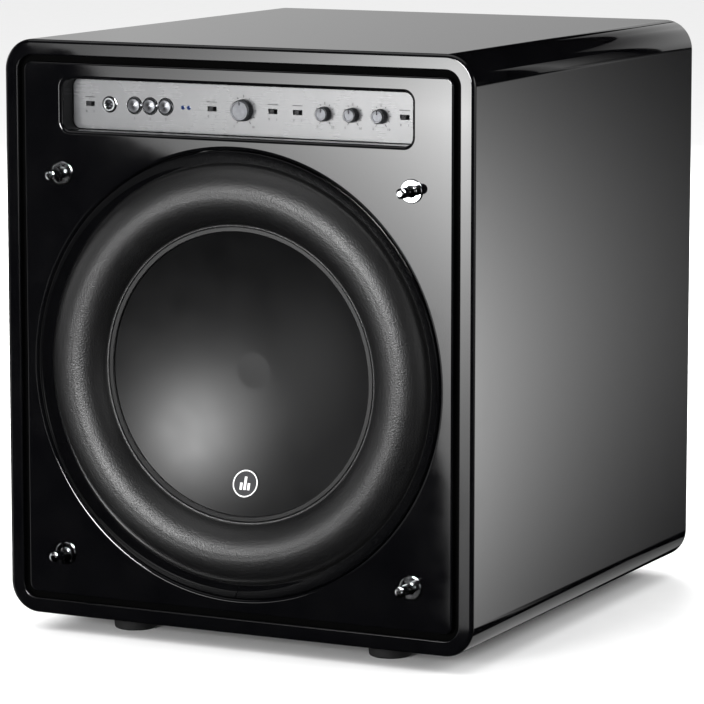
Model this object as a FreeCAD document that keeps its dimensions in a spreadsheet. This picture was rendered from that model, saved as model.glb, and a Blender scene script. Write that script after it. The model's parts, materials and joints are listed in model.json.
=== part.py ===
"""Powered subwoofer: a sealed cabinet, one long-throw driver, a control panel and a plate amplifier.

Frame: millimetres, +Z up, front towards -Y, origin on the floor under the middle of the whole part.
"""
import math
import os
import re

import FreeCAD, Part
import Sketcher

doc = FreeCAD.newDocument("subwoofer")
sheet = doc.addObject("Spreadsheet::Sheet", "dims")
nodes = []

DIMENSIONS = {
    # cabinet
    "cabinet_width": 419, "cabinet_height": 472, "cabinet_depth": 452, "wall_thick": 18,
    "corner_radius": 25, "inner_corner": 7, "edge_round": 4, "rim_width": 12.5, "groove_depth": 6,
    "foot_height": 14, "foot_radius": 19, "foot_inset_x": 92.5, "foot_inset_y": 45, "screw_radius": 2.5,
    "front_plane": -221, "baffle_thick": 36, "baffle_round": 1.5, "brace_deep": 60, "brace_start": 35,
    # grille studs
    "stud_spacing": 312.5, "stud_low": 52.5, "stud_length": 22, "stud_radius": 4.1, "stud_disc": 9.5,
    "stud_shank": 3,
    # driver, all depths measured back from the front plane
    "driver_low": 209.5, "opening_radius": 180.5, "opening_round": 3, "through_radius": 158,
    "seat_depth": 19.5,
    "flange_front": 10, "flange_back": 18, "flange_radius": 179.9, "bolt_circle": 174.8,
    "bolt_shank": 2.7, "bolt_head": 4.2, "bolt_counterbore": 4.6, "trim_inner": 170.5, "trim_deep": 8,
    "roll_outer": 170, "roll_inner": 121, "roll_rise": 16.8, "rubber_thick": 2,
    "lip_inner": 114.6, "lip_outer": 119.2, "lip_front": 8, "dish_edge": 10.2, "dish_depth": 34,
    "cone_thick": 3, "collar_back": 39, "former_inner": 37.2, "former_outer": 37.8, "former_back": 147,
    "coil_outer": 38.9, "coil_front": 104, "coil_back": 146, "spider_depth": 78, "spider_outer": 88.1,
    "spider_thick": 1, "frame_back": 120, "window_width": 110, "top_plate_back": 130, "magnet_back": 174,
    "yoke_back": 188, "magnet_radius": 88, "plate_radius": 85, "gap_radius": 39.6, "pole_radius": 36.5,
    "badge_radius": 11.75, "badge_thick": 1.2, "badge_below": 90,
    # control panel
    "panel_width": 312, "panel_height": 41.5, "panel_low": 399.5, "panel_corner": 7, "panel_round": 3,
    "panel_depth": 18, "plate_thick": 2, "plate_corner": 6.5, "tray_corner": 2, "fit_gap": 0.3,
    "housing_back": 50, "housing_wall": 2.5,
    "board_front": 32, "board_thick": 1.6, "shaft_radius": 3, "running_gap": 0.05, "knob_front": 10,
    "knob_gap": 0.5, "level_radius": 8.75, "knob_radius": 5.9, "button_radius": 5.6, "button_front": 15,
    "tab_wide": 3.6, "tab_high": 3.4, "slot_wide": 8.5, "slot_high": 4.2, "socket_radius": 6.65,
    "socket_bore": 3.5, "lamp_radius": 1.7,
    # amplifier
    "rear_thick": 19, "amp_width": 260, "amp_height": 330, "amp_thick": 4, "amp_border": 12,
    "fin_rise": 12, "fin_base": 3, "fin_thick": 1.6, "fin_pitch": 12, "sink_width": 182,
    "sink_low": 290, "sink_high": 110, "inlet_x": -65, "inlet_z": 145, "line_z": 222, "line_x": 55,
    "line_spread": 40, "phono_x": -25, "phono_spread": 26, "ground_x": -78, "barrel_radius": 11,
    "transformer_radius": 45, "transformer_deep": 45, "transformer_x": 52, "transformer_z": 150,
    "amp_board_gap": 31,
}
# Places of the controls along the panel, from its middle
SLIDERS = {"power": -140, "level_mode": -28.5, "lights": 26, "filter": 48, "polarity": 141.5}
KNOBS = {"frequency": 72, "trim": 96.5, "phase": 121}
BUTTONS = {"demo": -99, "defeat": -84.75, "calibrate": -70.5}
MICROPHONE_X = -122
LAMPS_X = (-54.8, -49.4)
BOLT_COUNT = 8
# Expressions used by many pieces
MIDDLE_Z = "foot_height + cabinet_height / 2"
DRIVER_Z = "foot_height + driver_low"
REAR_Y = "front_plane + cabinet_depth"
PLATE_Y = "front_plane + panel_depth"
PANEL_Z = "foot_height + panel_low + panel_height / 2"
INNER_WIDE = "(cabinet_width - 2 * wall_thick)"
INNER_HIGH = "(cabinet_height - 2 * wall_thick)"
POT_DEEP = "board_front - panel_depth - plate_thick"
PLATE_WIDE = "(panel_width - 1)"
PLATE_HIGH = "(panel_height - 1)"


def bound(text):
    """The expression with every alias pointed at the sheet; only aliases hold an underscore."""
    return re.sub(r"\b([a-z]+(?:_[a-z]+)+)\b", r"dims.\1", str(text))


def value(text):
    return float(sheet.evalExpression(bound(text)))


def fill_sheet():
    for row, (alias, size) in enumerate(DIMENSIONS.items(), 1):
        sheet.set(f"A{row}", alias)
        sheet.set(f"B{row}", str(size))
        sheet.setAlias(f"B{row}", alias)
    doc.recompute()


def bind(item, name, text):
    item.setExpression(name, bound(text))


def place(item, spot, turn=None):
    """Put an item at three expressions, turned by an optional Rotation."""
    if turn is not None:
        item.Placement = FreeCAD.Placement(FreeCAD.Vector(), turn)
    for axis, text in zip("xyz", spot):
        bind(item, f"Placement.Base.{axis}", text)
    return item


def node(item, label):
    """Name an item as one of the part's nodes."""
    item.Label = label
    nodes.append(item)
    return item


def block(middle, size):
    """A box centred on x and z that runs back from y."""
    item = doc.addObject("Part::Box", "block")
    for name, text in zip(("Length", "Width", "Height"), size):
        bind(item, name, text)
    x, y, z = middle
    wide, _, high = size
    return place(item, (f"{x} - ({wide}) / 2", y, f"{z} - ({high}) / 2"))


def rod(front, radius, length):
    """A cylinder that runs back along Y from a point."""
    item = doc.addObject("Part::Cylinder", "rod")
    bind(item, "Radius", radius)
    bind(item, "Height", length)
    return place(item, front, FreeCAD.Rotation(FreeCAD.Vector(1, 0, 0), -90))


def post(foot, radius, length):
    """An upright cylinder."""
    item = doc.addObject("Part::Cylinder", "post")
    bind(item, "Radius", radius)
    bind(item, "Height", length)
    return place(item, foot)


def cut(base, tools):
    item = doc.addObject("Part::Cut", "cut")
    item.Base = base
    item.Tool = tools[0] if len(tools) == 1 else fuse(tools)
    return item


def fuse(pieces):
    item = doc.addObject("Part::MultiFuse", "fuse")
    item.Shapes = pieces
    return item


def group(pieces):
    item = doc.addObject("Part::Compound", "group")
    item.Links = pieces
    return item


def new_sketch(body, role):
    sketch = body.newObject("Sketcher::SketchObject", "sketch")
    plane = next(item for item in body.Origin.OriginFeatures if item.Role == role)
    sketch.AttachmentSupport = [(plane, "")]
    sketch.MapMode = "FlatFace"
    return sketch


def fix_corner(sketch, edge, end, corner):
    """Hold one end of an edge at its two expressions from the sketch's origin."""
    for kind, axis, text in (("DistanceX", -2, corner[0]), ("DistanceY", -1, corner[1])):
        if value(text) == 0:
            sketch.addConstraint(Sketcher.Constraint("PointOnObject", edge, end, axis))
            continue
        index = sketch.addConstraint(Sketcher.Constraint(kind, -1, 1, edge, end, value(text)))
        bind(sketch, f"Constraints[{index}]", text)


def arc_middle(start, end, radius, side):
    """The middle of the shorter arc between two points, on the left (+1) or right (-1) of the way."""
    chord = end - start
    rise = radius - math.sqrt(max(radius ** 2 - chord.Length ** 2 / 4, 0))
    left = FreeCAD.Vector(-chord.y, chord.x, 0).normalize()
    return (start + end) * 0.5 + left * rise * side


def draw(sketch, corners):
    """Draw a closed outline; a corner is (across, up), or (across, up, radius, side) to start an arc."""
    spots = [FreeCAD.Vector(value(corner[0]), value(corner[1]), 0) for corner in corners]
    edges, ends = [], []
    for corner, start, end in zip(corners, spots, spots[1:] + spots[:1]):
        if len(corner) == 2:
            edge = sketch.addGeometry(Part.LineSegment(start, end))
        else:
            middle = arc_middle(start, end, value(corner[2]), corner[3])
            edge = sketch.addGeometry(Part.Arc(start, middle, end))
        edges.append(edge)
        ends.append((1, 2) if sketch.getPoint(edge, 1).distanceToPoint(start) < 1e-6 else (2, 1))
    for index, corner in enumerate(corners):
        before = index - 1
        join = (edges[before], ends[before][1], edges[index], ends[index][0])
        sketch.addConstraint(Sketcher.Constraint("Coincident", *join))
        fix_corner(sketch, edges[index], ends[index][0], corner)
        if len(corner) > 2:
            size = sketch.addConstraint(Sketcher.Constraint("Radius", edges[index], value(corner[2])))
            bind(sketch, f"Constraints[{size}]", corner[2])


def turned(name, middle, corners):
    """A body turned about the line along Y through its middle, from (back, out) corners."""
    body = doc.addObject("PartDesign::Body", name)
    sketch = new_sketch(body, "YZ_Plane")
    draw(sketch, corners)
    turn = body.newObject("PartDesign::Revolution", "turn")
    turn.Profile = sketch
    turn.ReferenceAxis = (sketch, ["H_Axis"])
    turn.Angle = 360
    return place(body, middle)


def rounded(wide, high, radius, middle):
    """Corners of a rounded rectangle centred on x, at a height."""
    x, low, top = f"({wide}) / 2", f"{middle} - ({high}) / 2", f"{middle} + ({high}) / 2"
    return [
        (f"{x} - ({radius})", low, radius, -1), (x, f"{low} + {radius}"),
        (x, f"{top} - ({radius})", radius, -1), (f"{x} - ({radius})", top),
        (f"-{x} + {radius}", top, radius, -1), (f"-{x}", f"{top} - ({radius})"),
        (f"-{x}", f"{low} + {radius}", radius, -1), (f"-{x} + {radius}", low),
    ]


def pad(body, corners, length):
    """A pad from the body's XZ plane back along +Y."""
    sketch = new_sketch(body, "XZ_Plane")
    draw(sketch, corners)
    item = body.newObject("PartDesign::Pad", "pad")
    item.Profile = sketch
    bind(item, "Length", length)
    item.Reversed = True


def pocket_of(body, sketch, length):
    """A pocket from a sketch on the body's XZ plane back along +Y."""
    item = body.newObject("PartDesign::Pocket", "pocket")
    item.Profile = sketch
    bind(item, "Length", length)


def pocket(body, corners, length):
    sketch = new_sketch(body, "XZ_Plane")
    draw(sketch, corners)
    pocket_of(body, sketch, length)


def round_pocket(body, middle, radius, length):
    sketch = new_sketch(body, "XZ_Plane")
    spot = FreeCAD.Vector(value(middle[0]), value(middle[1]), 0)
    ring = sketch.addGeometry(Part.Circle(spot, FreeCAD.Vector(0, 0, 1), value(radius)))
    fix_corner(sketch, ring, 3, middle)
    size = sketch.addConstraint(Sketcher.Constraint("Radius", ring, value(radius)))
    bind(sketch, f"Constraints[{size}]", radius)
    pocket_of(body, sketch, length)


def round_over(body, size, wanted):
    """Fillet the edges of the body's tip whose every corner passes a test."""
    doc.recompute()
    tip = body.Tip
    names = [f"Edge{number}" for number, edge in enumerate(tip.Shape.Edges, 1)
             if all(wanted(corner.Point) for corner in edge.Vertexes)]
    item = body.newObject("PartDesign::Fillet", "round_over")
    item.Base = (tip, names)
    bind(item, "Radius", size)


# Places shared by several pieces

def foot_spots():
    """The (x, y) of the four feet."""
    across = "cabinet_width / 2 - foot_inset_x"
    front, rear = "front_plane + foot_inset_y", "front_plane + cabinet_depth - foot_inset_y"
    return [(x, y) for x in (f"-({across})", across) for y in (front, rear)]


def stud_spots():
    """The (x, z) of the four grille studs."""
    low = "foot_height + stud_low"
    return [(f"{side} * stud_spacing / 2", z) for side in (-1, 1) for z in (low, f"{low} + stud_spacing")]


def bolt_spots():
    """The (x, z) of the driver's bolts."""
    turns = [360 / BOLT_COUNT * (step + 0.5) for step in range(BOLT_COUNT)]
    return [(f"bolt_circle * cos({turn})", f"{DRIVER_Z} + bolt_circle * sin({turn})") for turn in turns]


def amp_screw_spots():
    """The (x, z) of the screws around the amplifier's plate."""
    across, up = "(amp_width - amp_border) / 2", "(amp_height - amp_border) / 2"
    sides = [(f"{side} * {across}", f"{MIDDLE_Z} + {up} * {share}")
             for side in (-1, 1) for share in (-0.5, 0, 0.5)]
    ends = [(f"{side} * {across} * 0.9", f"{MIDDLE_Z} + {end} * {up}")
            for side in (-1, 1) for end in (-1, 1)]
    return sides + ends


# Cabinet

def make_cabinet_shell():
    body = doc.addObject("PartDesign::Body", "shell")
    pad(body, rounded("cabinet_width", "cabinet_height", "corner_radius", MIDDLE_Z), "cabinet_depth")
    pocket(body, rounded(INNER_WIDE, INNER_HIGH, "inner_corner", MIDDLE_Z), "cabinet_depth")
    rim_wide, rim_high = "cabinet_width - 2 * rim_width", "cabinet_height - 2 * rim_width"
    pocket(body, rounded(rim_wide, rim_high, "corner_radius - rim_width", MIDDLE_Z), "groove_depth")
    inner_x, inner_z = value(f"{INNER_WIDE} / 2 + 12"), value(f"{INNER_HIGH} / 2 + 12")
    middle = value(MIDDLE_Z)
    depth = value("cabinet_depth")

    def on_outside(spot):
        at_end = min(abs(spot.y), abs(spot.y - depth)) < 1e-3
        return at_end and (abs(spot.x) > inner_x or abs(spot.z - middle) > inner_z)

    round_over(body, "edge_round", on_outside)
    place(body, ("0", "front_plane", "0"))
    holes = [post((x, y, "foot_height - 1"), "screw_radius", "15") for x, y in foot_spots()]
    node(cut(body, holes), "cabinet_shell")


def make_front_baffle():
    body = doc.addObject("PartDesign::Body", "baffle")
    opening_z = "foot_height + panel_low + panel_height / 2"
    pad(body, rounded(INNER_WIDE, INNER_HIGH, "inner_corner", MIDDLE_Z), "baffle_thick")
    round_pocket(body, ("0", DRIVER_Z), "opening_radius", "seat_depth")
    round_pocket(body, ("0", DRIVER_Z), "through_radius", "baffle_thick")
    pocket(body, rounded("panel_width", "panel_height", "panel_corner", opening_z), "baffle_thick")
    half_x, half_z = value(f"{INNER_WIDE} / 2 - 8"), value(f"{INNER_HIGH} / 2 - 8")
    middle = value(MIDDLE_Z)

    def on_outside(spot):
        return abs(spot.y) < 1e-3 and (abs(spot.x) > half_x or abs(spot.z - middle) > half_z)

    def on_opening(spot):
        beside = abs(spot.x) < value("panel_width / 2 + 1")
        above = abs(spot.z - value(opening_z)) < value("panel_height / 2 + 1")
        return abs(spot.y) < 1e-3 and beside and above

    def on_driver(spot):
        reach = math.hypot(spot.x, spot.z - value(DRIVER_Z))
        return abs(spot.y) < 1e-3 and abs(reach - value("opening_radius")) < 0.5

    round_over(body, "baffle_round", on_outside)
    round_over(body, "opening_round", on_driver)
    round_over(body, "panel_round", on_opening)
    place(body, ("0", "front_plane", "0"))
    holes = [rod((x, "front_plane - 1", z), "bolt_shank", "baffle_thick + 2") for x, z in bolt_spots()]
    holes += [rod((x, "front_plane - 1", z), "stud_shank", "20") for x, z in stud_spots()]
    node(cut(body, holes), "front_baffle")


def make_rear_panel():
    body = doc.addObject("PartDesign::Body", "rear")
    pad(body, rounded(INNER_WIDE, INNER_HIGH, "inner_corner", MIDDLE_Z), "rear_thick")
    hole = rounded("amp_width - 2 * amp_border", "amp_height - 2 * amp_border", "4", MIDDLE_Z)
    pocket(body, hole, "rear_thick")
    place(body, ("0", f"{REAR_Y} - rear_thick", "0"))
    rebate = block(("0", f"{REAR_Y} - amp_thick", MIDDLE_Z), ("amp_width", "amp_thick + 1", "amp_height"))
    holes = [rod((x, f"{REAR_Y} - 16", z), "1.9", "16") for x, z in amp_screw_spots()]
    node(cut(body, [rebate] + holes), "rear_panel")


def make_braces():
    size = ("wall_thick", "brace_deep", INNER_HIGH)
    node(block(("0", "brace_start", MIDDLE_Z), size), "vertical_brace")
    wide = f"({INNER_WIDE} - wall_thick) / 2"
    arms = [block((f"{side} * ({wide} + wall_thick) / 2", "brace_start", MIDDLE_Z),
                  (wide, "brace_deep", "wall_thick"))
            for side in (-1, 1)]
    node(group(arms), "horizontal_braces")


def make_feet():
    feet, screws = [], []
    for x, y in foot_spots():
        foot = doc.addObject("Part::Cone", "foot")
        bind(foot, "Radius1", "foot_radius - 2")
        bind(foot, "Radius2", "foot_radius")
        bind(foot, "Height", "foot_height")
        place(foot, (x, y, "0"))
        hollow = post((x, y, "-1"), "7", "8")
        hole = post((x, y, "-1"), "screw_radius", "foot_height + 2")
        feet.append(cut(foot, [hollow, hole]))
        head = post((x, y, "3.5"), "5.5", "3.5")
        screws.append(fuse([head, post((x, y, "3.5"), "screw_radius", "foot_height + 9")]))
    node(group(feet), "rubber_feet")
    node(group(screws), "foot_screws")


def make_grille_studs():
    corners = [
        ("19", "0"), ("19", "stud_shank"), ("0", "stud_shank"), ("0", "stud_disc"), ("-0.9", "stud_disc"),
        ("-1.5", "stud_disc - 0.8"), ("-1.5", "stud_radius + 0.9"), ("-2.4", "stud_radius"),
        ("-stud_length + 1.8", "stud_radius", "1.8", 1), ("-stud_length", "stud_radius - 1.8"),
        ("-stud_length", "0"),
    ]
    studs = [turned("stud", (x, "front_plane", z), corners) for x, z in stud_spots()]
    node(group(studs), "grille_studs")


# Driver: every outline is (back from the front plane, out from the axis)

def driver_part(label, corners):
    return turned(label, ("0", "front_plane", DRIVER_Z), corners)


def ring(front, back, inner, outer):
    """Corners of a plain ring."""
    return [(front, inner), (front, outer), (back, outer), (back, inner)]


def bolt_holes(radius, front, length):
    return [rod((x, f"front_plane + {front}", z), radius, length) for x, z in bolt_spots()]


def make_driver_frame():
    corners = [
        ("flange_front", "155"), ("flange_front", "flange_radius"), ("flange_back", "flange_radius"),
        ("flange_back", "through_radius - 0.6"), ("72", "112"), ("frame_back - 8", "98"),
        ("frame_back", "98"), ("frame_back", "47"), ("frame_back - 6", "47"), ("frame_back - 6", "91"), ("83", "99"),
        ("83", "spider_outer + 1.5"), ("spider_depth + 1.4", "spider_outer + 1.5"),
        ("spider_depth + 1.4", "103"), ("70", "106.5"), ("21", "148"),
    ]
    frame = driver_part("basket", corners)
    windows = [block(("0", "front_plane + 27", DRIVER_Z), size)
               for size in (("400", "40", "window_width"), ("window_width", "40", "400"))]
    sinks = bolt_holes("bolt_counterbore", "flange_front - 1", "6.2")
    holes = bolt_holes("bolt_shank", "flange_front - 1", "12")
    node(cut(frame, windows + sinks + holes), "driver_frame")


def make_driver_fixings():
    gasket = driver_part("gasket", ring("flange_back", "seat_depth", "161", "flange_radius"))
    node(cut(gasket, bolt_holes("bolt_shank", "flange_back - 1", "4")), "driver_gasket")
    bolts = []
    for x, z in bolt_spots():
        head = rod((x, "front_plane + flange_front + 0.4", z), "bolt_head", "4.8")
        socket = rod((x, "front_plane + flange_front + 0.3", z), "2", "3")
        shank = rod((x, "front_plane + flange_front + 4", z), "bolt_shank", "21.5")
        bolts.append(cut(fuse([head, shank]), [socket]))
    node(group(bolts), "driver_bolts")
    corners = [
        ("trim_deep", "trim_inner"), ("trim_deep", "flange_radius"), ("0.7", "flange_radius"),
        ("0", "flange_radius - 0.8", "18", -1), ("trim_deep - 1", "trim_inner"),
    ]
    seam = block(("0", "front_plane - 1", f"{DRIVER_Z} - opening_radius + 4.5"),
                 ("0.8", "trim_deep + 2", "14"))
    node(cut(driver_part("trim", corners), [seam]), "trim_ring")


def make_surround():
    chord, rise = "(roll_outer - roll_inner)", "roll_rise"
    radius = f"(({chord} / 2) ^ 2 + {rise} ^ 2) / (2 * {rise})"
    corners = [
        ("trim_deep", "roll_outer", radius, -1), ("trim_deep", "roll_inner"),
        ("trim_deep", "lip_outer + fit_gap"),
        ("trim_deep + rubber_thick", "lip_outer + fit_gap"),
        ("trim_deep + rubber_thick", "roll_inner + 2", f"{radius} - rubber_thick", 1),
        ("trim_deep + rubber_thick", "roll_outer - 2"), ("trim_deep + rubber_thick", "flange_radius - 0.4"),
        ("trim_deep", "flange_radius - 0.4"),
    ]
    roll = driver_part("roll", corners)
    node(cut(roll, bolt_holes("bolt_counterbore", "trim_deep - 1", "4")), "surround")


def make_cone():
    drop = "(dish_depth - dish_edge)"
    dish = f"(lip_inner ^ 2 + {drop} ^ 2) / (2 * {drop})"
    back = "dish_edge + cone_thick"
    corners = [
        ("dish_depth", "0", dish, -1), ("dish_edge", "lip_inner"), ("lip_front + 0.4", "lip_inner + 0.3"),
        ("lip_front", "lip_inner + 0.9"), ("lip_front", "lip_outer - 0.5"), ("lip_front + 0.5", "lip_outer"),
        (back, "lip_outer", dish, 1), ("36.5", "42"), ("collar_back", "42"), ("collar_back", "34"),
        ("dish_depth + cone_thick", "34"), ("dish_depth + cone_thick", "0"),
    ]
    node(driver_part("cone", corners), "cone")
    badge = doc.addObject("Part::Cylinder", "badge")
    bind(badge, "Radius", "badge_radius")
    bind(badge, "Height", "badge_thick")
    lean = math.degrees(math.asin(value(f"badge_below / ({dish})")))
    reach = f"({dish} - 0.27 - badge_thick)"
    turn = FreeCAD.Rotation(FreeCAD.Vector(1, 0, 0), -90 - lean)
    spot = ("0", f"front_plane + dish_depth - {dish} + {reach} * cos({lean})",
            f"{DRIVER_Z} - {reach} * sin({lean})")
    node(place(badge, spot, turn), "cone_badge")


def make_voice_coil():
    former = ring("collar_back", "former_back", "former_inner", "former_outer")
    node(driver_part("former", former), "coil_former")
    coil = ring("coil_front", "coil_back", "former_outer", "coil_outer")
    node(driver_part("coil", coil), "voice_coil")


def make_spider():
    """A corrugated disc: half waves that turn back and forth."""
    inner, count = "former_outer + fit_gap", 5
    step = f"((spider_outer - {inner}) / {count})"
    front = [("spider_depth", f"{inner} + {step} * {index}", "7.2", 1 if index % 2 else -1)
             for index in range(count)]
    rear = [("spider_depth + spider_thick", f"{inner} + {step} * {index}", "7.2", 1 if index % 2 else -1)
            for index in range(count, 0, -1)]
    land = [("spider_depth", "spider_outer"), ("spider_depth", "spider_outer + 8"),
            ("spider_depth + spider_thick", "spider_outer + 8")]
    end = [("spider_depth + spider_thick", inner)]
    node(driver_part("spider", front + land + rear + end), "spider")


def make_motor():
    plate = ring("frame_back", "top_plate_back", "gap_radius", "plate_radius")
    node(driver_part("plate", plate), "top_plate")
    node(driver_part("magnet", ring("top_plate_back", "magnet_back", "46", "magnet_radius")), "magnet")
    corners = [
        ("frame_back", "10"), ("frame_back", "pole_radius"), ("magnet_back", "pole_radius"),
        ("magnet_back", "plate_radius"), ("yoke_back - 3", "plate_radius"), ("yoke_back", "plate_radius - 3"),
        ("yoke_back", "10"),
    ]
    node(driver_part("yoke", corners), "yoke")


# Control panel

def make_control_plate():
    plate = doc.addObject("PartDesign::Body", "plate")
    pad(plate, rounded(PLATE_WIDE, PLATE_HIGH, "plate_corner", PANEL_Z), "plate_thick")
    place(plate, ("0", PLATE_Y, "0"))
    holes = [rod((x, f"{PLATE_Y} - 1", PANEL_Z), "shaft_radius + 0.4", "plate_thick + 2")
             for x in [0] + list(KNOBS.values())]
    holes += [rod((x, f"{PLATE_Y} - 1", PANEL_Z), "button_radius + 0.35", "plate_thick + 2")
              for x in BUTTONS.values()]
    holes += [rod((x, f"{PLATE_Y} - 1", PANEL_Z), "lamp_radius", "plate_thick + 2") for x in LAMPS_X]
    holes.append(rod((MICROPHONE_X, f"{PLATE_Y} - 1", PANEL_Z), "5", "plate_thick + 2"))
    holes += [block((x, f"{PLATE_Y} - 1", PANEL_Z), ("slot_wide", "plate_thick + 2", "slot_high"))
              for x in SLIDERS.values()]
    node(cut(plate, holes), "control_plate")


def make_control_housing():
    length = "(housing_back - panel_depth - plate_thick)"
    tray = doc.addObject("PartDesign::Body", "tray")
    pad(tray, rounded(PLATE_WIDE, PLATE_HIGH, "plate_corner", PANEL_Z), length)
    inner_wide, inner_high = f"{PLATE_WIDE} - 2 * housing_wall", f"{PLATE_HIGH} - 2 * housing_wall"
    pocket(tray, rounded(inner_wide, inner_high, "tray_corner", PANEL_Z), f"{length} - housing_wall")
    node(place(tray, ("0", f"{PLATE_Y} + plate_thick", "0")), "control_housing")
    board = ("panel_width - 8", "board_thick", "panel_height - 7")
    node(block(("0", "front_plane + board_front", PANEL_Z), board), "control_board")


def make_knob(name, x, radius):
    """A knob, its shaft and the potentiometer that the shaft turns in."""
    length = f"{PLATE_Y} - knob_gap - front_plane - knob_front"
    corners = [
        ("0", "0"), ("0", f"{radius} - 1.2"), ("0.8", f"{radius} - 0.4"), (length, radius),
        (length, "shaft_radius"), ("2.5", "shaft_radius"), ("2.5", "0"),
    ]
    knob = turned("knob", (x, "front_plane + knob_front", PANEL_Z), corners)
    line = block((x, "front_plane + knob_front - 1", f"{PANEL_Z} + {radius} - 2.5"), ("0.9", "1.5", "4"))
    node(cut(knob, [line]), f"{name}_knob")
    shaft = rod((x, "front_plane + knob_front + 2.5", PANEL_Z), "shaft_radius", "17")
    node(shaft, f"{name}_shaft")
    pot = rod((x, f"{PLATE_Y} + plate_thick", PANEL_Z), f"{radius} + 1.5", POT_DEEP)
    hole = rod((x, f"{PLATE_Y} + plate_thick - 1", PANEL_Z), "shaft_radius + running_gap", "11")
    return cut(pot, [hole])


def make_sliders():
    """The tabs of the slide switches, and the body that holds each."""
    bodies = []
    for name, x in SLIDERS.items():
        tab = block((x, f"{PLATE_Y} - 2.2", PANEL_Z), ("tab_wide", "8.2", "tab_high"))
        grooves = [block((f"{x} + {shift}", f"{PLATE_Y} - 3", PANEL_Z), ("0.5", "1.3", "5"))
                   for shift in (-0.9, 0.1, 1.1)]
        node(cut(tab, grooves), f"{name}_switch_tab")
        body = block((x, f"{PLATE_Y} + plate_thick", PANEL_Z), ("14", POT_DEEP, "9"))
        hole = block((x, f"{PLATE_Y} + plate_thick - 1", PANEL_Z), ("slot_wide", "6", "slot_high"))
        bodies.append(cut(body, [hole]))
    inner, line = f"{REAR_Y} - amp_thick", "foot_height + line_z"
    ground = block(("ground_x", f"{inner} - 10", line), ("14", "10", "9"))
    hole = block(("ground_x", f"{inner} - 5", line), ("slot_wide", "6", "slot_high"))
    bodies.append(cut(ground, [hole]))
    tab = block(("ground_x", f"{inner} - 4.5", line), ("tab_wide", "10.5", "tab_high"))
    node(tab, "ground_switch_tab")
    node(group(bodies), "slide_switch_bodies")


def make_buttons():
    corners = [
        ("0", "0", "16", 1), ("1.2", "button_radius - 0.4"), ("1.6", "button_radius"),
        ("5.6", "button_radius"), ("5.6", "button_radius + 0.9"), ("7", "button_radius + 0.9"),
        ("7", "2"), ("8.4", "2"), ("8.4", "0"),
    ]
    switches = []
    for name, x in BUTTONS.items():
        node(turned("button", (x, "front_plane + button_front", PANEL_Z), corners), f"{name}_button")
        size = ("8", "board_front - button_front - 10.4", "8")
        switches.append(block((x, "front_plane + button_front + 10.4", PANEL_Z), size))
    node(group(switches), "button_switches")


def make_panel_fittings():
    socket = [
        ("-1.6", "socket_bore"), ("-1.6", "socket_radius - 1.4"), ("-1.2", "socket_radius - 0.5"),
        ("0", "socket_radius"), ("0", "5"), ("14", "5"), ("14", "0"), ("12", "0"), ("12", "socket_bore"),
    ]
    node(turned("socket", (MICROPHONE_X, PLATE_Y, PANEL_Z), socket), "microphone_socket")
    lamps = [turned("lamp", (x, PLATE_Y, PANEL_Z), [
        ("-0.9", "0", "2.1", 1), ("0", "lamp_radius"), ("8", "lamp_radius"), ("8", "0")]) for x in LAMPS_X]
    node(group(lamps), "indicator_lights")


def make_control_panel():
    make_control_plate()
    make_control_housing()
    pots = [make_knob("level", "0", "level_radius")]
    pots += [make_knob(name, x, "knob_radius") for name, x in KNOBS.items()]
    node(group(pots), "potentiometers")
    make_sliders()
    make_buttons()
    make_panel_fittings()


# Amplifier

def line_spots():
    """The (x, z) of the two balanced line inputs."""
    return [(f"line_x + {side} * line_spread / 2", "foot_height + line_z") for side in (-1, 1)]


def phono_spots():
    return [(f"phono_x + {side} * phono_spread / 2", "foot_height + line_z") for side in (-1, 1)]


def make_amp_plate():
    size = ("amp_width", "amp_thick", "amp_height")
    plate = block(("0", f"{REAR_Y} - amp_thick", MIDDLE_Z), size)
    front = f"{REAR_Y} - amp_thick - 1"
    holes = [rod((x, front, z), "1.9", "amp_thick + 2") for x, z in amp_screw_spots()]
    holes += [rod((x, front, z), "barrel_radius", "amp_thick + 2") for x, z in line_spots()]
    holes += [block((x, front, f"{z} + 15"), ("8", "amp_thick + 2", "4.6")) for x, z in line_spots()]
    holes += [rod((x, front, z), "4", "amp_thick + 2") for x, z in phono_spots()]
    holes.append(block(("inlet_x", front, "foot_height + inlet_z"), ("30", "amp_thick + 2", "40")))
    size = ("slot_wide", "amp_thick + 2", "slot_high")
    holes.append(block(("ground_x", front, "foot_height + line_z"), size))
    node(cut(plate, holes), "amplifier_plate")
    screws = []
    for x, z in amp_screw_spots():
        head = rod((x, REAR_Y, z), "3.6", "2")
        shank = rod((x, f"{REAR_Y} - 15", z), "1.9", "15.5")
        screws.append(cut(fuse([head, shank]), [rod((x, f"{REAR_Y} + 0.8", z), "1.4", "2")]))
    node(group(screws), "amplifier_screws")


def make_heatsink():
    middle = "sink_low + sink_high / 2"
    plate = block(("0", REAR_Y, middle), ("sink_width", "fin_base", "sink_high"))
    count = int(value("sink_width / fin_pitch"))
    fins = [block((f"fin_pitch * {step - (count - 1) / 2}", f"{REAR_Y} + fin_base", middle),
                  ("fin_thick", "fin_rise - fin_base", "sink_high")) for step in range(count)]
    node(fuse([plate] + fins), "heatsink")


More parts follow.
